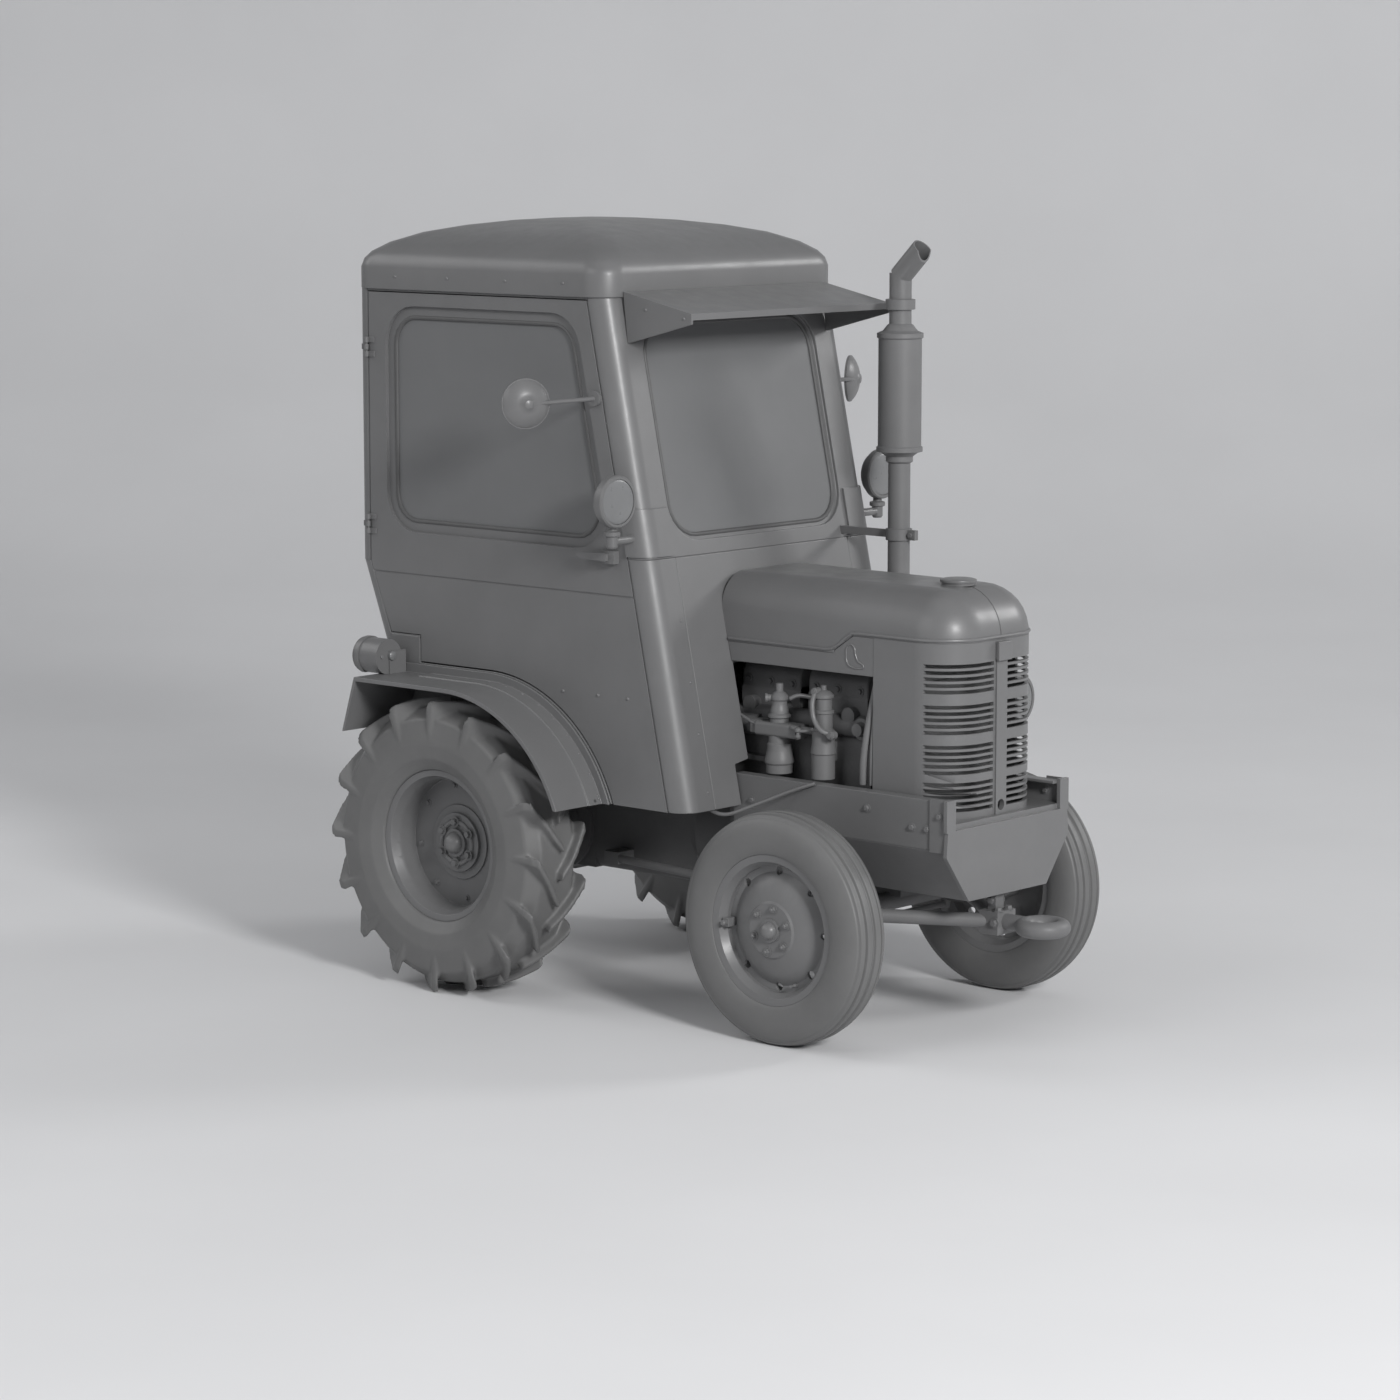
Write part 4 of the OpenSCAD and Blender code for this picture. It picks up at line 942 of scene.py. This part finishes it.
def engine_pipes(pump, filter_x):
    """Radius and points of each pipe, from the stations of the pump's and the filter's columns."""
    return (
        # Control rod from the cab to the pump
        (5, [(785, -196, 946), (850, -224, 940), (900, -236, 926), (pump - 70, -238, 914)]),
        # Pipe from the filter's top to its foot
        (8, [(filter_x - 14, -240, 1040), (filter_x - 8, -260, 1006), (filter_x + 2, -264, 960),
             (filter_x + 30, -262, 926), (filter_x + 58, -240, 912)]),
        # Hose and thin pipe beside the radiator
        (12, [(1398, -200, 1108), (1392, -218, 1030), (1378, -230, 930), (1366, -232, 840),
              (1360, -226, 770)]),
        (7, [(1410, -205, 1108), (1406, -222, 1020), (1400, -232, 900), (1396, -230, 770)]),
        # Two halves of the link from the pump over the tap to the filter
        (5, [(pump + 60, -236, 925), (pump + 84, -252, 921), (pump + 112, -258, 914)]),
        (5, [(pump + 112, -258, 914), (pump + 140, -250, 917), (filter_x - 24, -236, 922)]),
        # Delivery pipe from the pump to the engine
        (7, [(pump + 20, -190, 1000), (pump + 40, -170, 1010), (pump + 66, -140, 1004)]))


class TRACTOR_OT_engine_bay(Operator):
    """Cover the engine's heads and run the pipes, hoses and linkage of its open side"""

    bl_idname = "tractor.engine_bay"
    bl_label = "Engine pipes and linkage"

    def execute(self, context):
        low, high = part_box("pump_set")
        pump = (low.x - AXLE_X) * 1000 + 98
        filter_x = (high.x - AXLE_X) * 1000 - 40
        bm = bmesh.new()
        cover = eased_corners((-HEAD_SIDE, 975), (HEAD_SIDE, 1100), r=45)
        for x in HEADS_X:
            lengthwise(bm, cover, x, HEAD_LENGTH)
        piece("engine_covers", bm, "engine", "rough_casting", soften=0.006)
        bm = bmesh.new()
        turned(bm, GALLERY, station(HEADS_X[0], -140, 930), FORWARD, steps=32)
        piece("engine_gallery", bm, "engine", "rough_casting")
        bm = bmesh.new()
        for radius, points in engine_pipes(pump, filter_x):
            pipe(bm, eased([station(*q) for q in points]), radius)
        piece("engine_pipes", bm, "pump_set", "pipe_steel")
        bm = bmesh.new()
        for profile, foot, axis in (
                (TAP, (pump + 112, -258, 892), UP),
                (LOW_UNION, (filter_x + 58, -232, 912), RIGHT),
                (HIGH_UNION, (filter_x - 14, -222, 1042), RIGHT),
                (FLANGED_UNION, (pump - 14, -222, 1004), (-0.7, -0.7, 0)),
                (GALLERY_CAP, (1312, -168, 930), RIGHT)):
            turned(bm, profile, station(*foot), axis, steps=24)
        piece("engine_unions", bm, "pump_set", "worn_paint")
        heads = [(station(x + k, -HEAD_SIDE, 1040), RIGHT) for x in HEADS_X for k in (30, 120, 210)]
        bolts("engine_bolts", heads, "engine", size=1.1, finish="rough_casting")
        return {"FINISHED"}


# Frame and lamps

# Name, node, size, and places on the left side with the way that each faces
FRAME_BOLTS = (
    ("rail_bolts", "frame_rails", 1.0, [
        ((1428, 290, 711), LEFT), ((1604, 290, 672), LEFT), ((1664, 290, 672), LEFT),
        ((1714, 296, 716), LEFT), ((962, 290, 683), LEFT)]),
    ("plate_bolts", "front_plate", 1.0, [((1682, 280, 724), RIGHT)]),
    ("tow_bolts", "tow_frame", 1.3, [
        ((1735, 45, 356), LEFT), ((1735, 26, 390), UP), ((1705, 20, 420), LEFT)]))
BRAKE_PIPE = (
    (872, -400, 676), (905, -410, 656), (960, -400, 652), (1040, -362, 686), (1130, -322, 728),
    (1200, -302, 756), (1222, -292, 764))
STRAP_BOLTS = (((1046, 409, 1470), LEFT), ((1046, 391, 1470), RIGHT))
LENSES = ((719.3, -648, 1632), (719.3, 648, 1632), (1502.3, 365, 984))
LENS_RADIUS, LENS_EDGE, LENS_RISE, LENS_RIB = 69, 4.5, 6.5, 0.6
TAIL_GLASS = [(0, 0), (50, 0), (50, 3), (44, 6), (26, 9), (0, 10)]
TAIL_KNOB = [(0, 0), (15, 0), (15, 12), (11, 15), (0, 16)]
TAIL_SCREW = [(0, 0), (6, 0), (6, 5), (0, 6)]


class TRACTOR_OT_frame_fittings(Operator):
    """Bolt the rails, the front plate, the towing block and the exhaust, and lay the brake pipe"""

    bl_idname = "tractor.frame_fittings"
    bl_label = "Frame bolts and pipe"

    def execute(self, context):
        for name, node, size, spots in FRAME_BOLTS:
            bolts(name, both_sides(spots), node, size)
        bm = bmesh.new()
        pipe(bm, eased([station(*q) for q in BRAKE_PIPE], per_span=6), 6)
        piece("brake_pipe", bm, "frame_rails", "pipe_steel")
        bolts("strap_bolts", [(station(*q), way) for q, way in STRAP_BOLTS], "exhaust_stack")
        return {"FINISHED"}


def lens_profile():
    """A domed lens with fine rings pressed in it."""
    dome = [(0, 0), (LENS_RADIUS, 0), (LENS_RADIUS, LENS_EDGE)]
    for k in range(1, 14):
        a = math.pi / 2 * k / 14
        rib = LENS_RIB if k % 2 else 0
        dome.append((LENS_RADIUS * math.cos(a), LENS_EDGE + LENS_RISE * math.sin(a) + rib))
    return [*dome, (0, LENS_EDGE + LENS_RISE)]


class TRACTOR_OT_lamp_lenses(Operator):
    """Press the lamp lenses and finish the tail lamps"""

    bl_idname = "tractor.lamp_lenses"
    bl_label = "Lamp lenses"

    def execute(self, context):
        bm = bmesh.new()
        for spot in LENSES:
            turned(bm, lens_profile(), station(*spot), FORWARD, steps=48)
        obj = piece("lamp_glasses", bm, "lamp_lenses", "lens_glass", sharp=60)
        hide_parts("lamp_lenses")
        bm = bmesh.new()
        for _, side in SIDES:
            turned(bm, TAIL_GLASS, station(-404, side * 650, 1061), BACKWARD, steps=40)
            turned(bm, TAIL_KNOB, station(-296, side * 640, 1064), FORWARD, steps=20)
            turned(bm, TAIL_SCREW, station(-296, side * 682, 1064), FORWARD, steps=12)
        piece("tail_lamp_trim", bm, "lamps", "lens_glass")
        return {"FINISHED"}


# Studio

CAMERA_STATION = (9312, -9941, 2851)
CAMERA_YAW, CAMERA_PITCH = math.radians(131.6), math.radians(-8.252)
CAMERA_LENS, CAMERA_SENSOR, CAMERA_END = 106.01, 36, 100
# Metres along the view and height of the floor's rows, and half its width
FLOOR_ROWS = ((-9, 0), (6, 0), (9, 0.25), (11, 1.2), (12, 3), (12.4, 9))
FLOOR_HALF = 16
WORLD_TINT, WORLD_STRENGTH = (0.9, 0.92, 0.95, 1), 0.24
LAMP_TARGET = Vector((0, 0, 1.1))
# Name, degrees round and up, metres away, watts, and metres across
LAMPS = (
    ("key", -22, 22, 14, 1420, 2.5), ("front_left", 58, 24, 14, 500, 3), ("side", -100, 32, 11, 165, 5.5),
    ("top", -40, 82, 12, 90, 8), ("rear", 205, 30, 12, 250, 6))


def heading(turn, rise):
    """A way that far round and up, in radians."""
    return Vector((math.cos(turn) * math.cos(rise), math.sin(turn) * math.cos(rise), math.sin(rise)))


def aim(obj, way):
    obj.rotation_euler = way.to_track_quat("-Z", "Y").to_euler()


def lay_floor():
    """A pale floor that bends up into a backdrop."""
    mat, tree, bsdf, where = new_material("studio_floor")
    tint = colours().floor
    patches = grain(tree, where, 0.6, detail=4, rough=0.5)
    link(tree, ramp(tree, patches, shade(tint, 0.97), shade(tint, 1.02)), bsdf.inputs["Base Color"])
    bsdf.inputs["Roughness"].default_value = FLOOR_ROUGHNESS
    away = heading(CAMERA_YAW, 0)
    across = Vector((-away.y, away.x, 0))
    bm = bmesh.new()
    rows = [
        [bm.verts.new(away * d + across * s + Vector((0, 0, h))) for s in (-FLOOR_HALF, FLOOR_HALF)]
        for d, h in FLOOR_ROWS]
    for a, b in zip(rows, rows[1:]):
        bm.faces.new((a[0], a[1], b[1], b[0]))
    bmesh.ops.recalc_face_normals(bm, faces=bm.faces)
    mesh = mesh_of("studio_floor", bm)
    smooth(mesh)
    mesh.materials.append(mat)
    stand("studio_floor", mesh)


def light(scene):
    """A dim sky and five soft lamps."""
    world = bpy.data.worlds.new("studio")
    world.use_nodes = True
    sky = world.node_tree.nodes["Background"]
    sky.inputs["Color"].default_value = WORLD_TINT
    sky.inputs["Strength"].default_value = WORLD_STRENGTH
    scene.world = world
    for name, turn, rise, away, power, size in LAMPS:
        lamp = bpy.data.lights.new(name, "AREA")
        lamp.energy = power
        lamp.size = size
        obj = stand(name, lamp)
        way = heading(math.radians(turn), math.radians(rise))
        obj.location = LAMP_TARGET + way * away
        aim(obj, -way)


def set_camera(scene):
    camera = bpy.data.cameras.new("camera")
    camera.sensor_width = CAMERA_SENSOR
    camera.lens = CAMERA_LENS
    camera.clip_end = CAMERA_END
    obj = stand("camera", camera)
    obj.location = station(*CAMERA_STATION)
    aim(obj, heading(CAMERA_YAW, CAMERA_PITCH))
    scene.camera = obj


class TRACTOR_OT_stage(Operator):
    """Set the pale floor, the soft lights and the camera"""

    bl_idname = "tractor.stage"
    bl_label = "Studio"

    def execute(self, context):
        scene = context.scene
        scene.view_settings.view_transform = "Standard"
        lay_floor()
        light(scene)
        set_camera(scene)
        return {"FINISHED"}


STEPS = (
    TRACTOR_OT_sheet_and_castings, TRACTOR_OT_rear_tyres, TRACTOR_OT_seals, TRACTOR_OT_wheel_fittings,
    TRACTOR_OT_cab_fittings, TRACTOR_OT_weather_strips, TRACTOR_OT_bonnet_trim, TRACTOR_OT_engine_bay,
    TRACTOR_OT_frame_fittings, TRACTOR_OT_lamp_lenses, TRACTOR_OT_stage)


class TRACTOR_PT_panel(Panel):
    """Lists the tractor's sizes, colours and steps"""

    bl_idname = "TRACTOR_PT_panel"
    bl_label = "Tractor"
    bl_space_type = "VIEW_3D"
    bl_region_type = "UI"
    bl_category = "Tractor"

    def draw(self, context):
        for group in (context.scene.tractor_sizes, context.scene.tractor_colours):
            for key in group.bl_rna.properties.keys():
                if key not in ("rna_type", "name"):
                    self.layout.prop(group, key)
        for step in STEPS:
            self.layout.operator(step.bl_idname)


CLASSES = (TractorSizes, TractorColours, *STEPS, TRACTOR_PT_panel)


def register():
    for kind in CLASSES:
        bpy.utils.register_class(kind)
    bpy.types.Scene.tractor_sizes = PointerProperty(type=TractorSizes)
    bpy.types.Scene.tractor_colours = PointerProperty(type=TractorColours)


def unregister():
    del bpy.types.Scene.tractor_colours
    del bpy.types.Scene.tractor_sizes
    for kind in reversed(CLASSES):
        bpy.utils.unregister_class(kind)


def main():
    register()
    for step in STEPS:
        group, name = step.bl_idname.split(".")
        getattr(getattr(bpy.ops, group), name)()


if __name__ == "__main__":
    main()
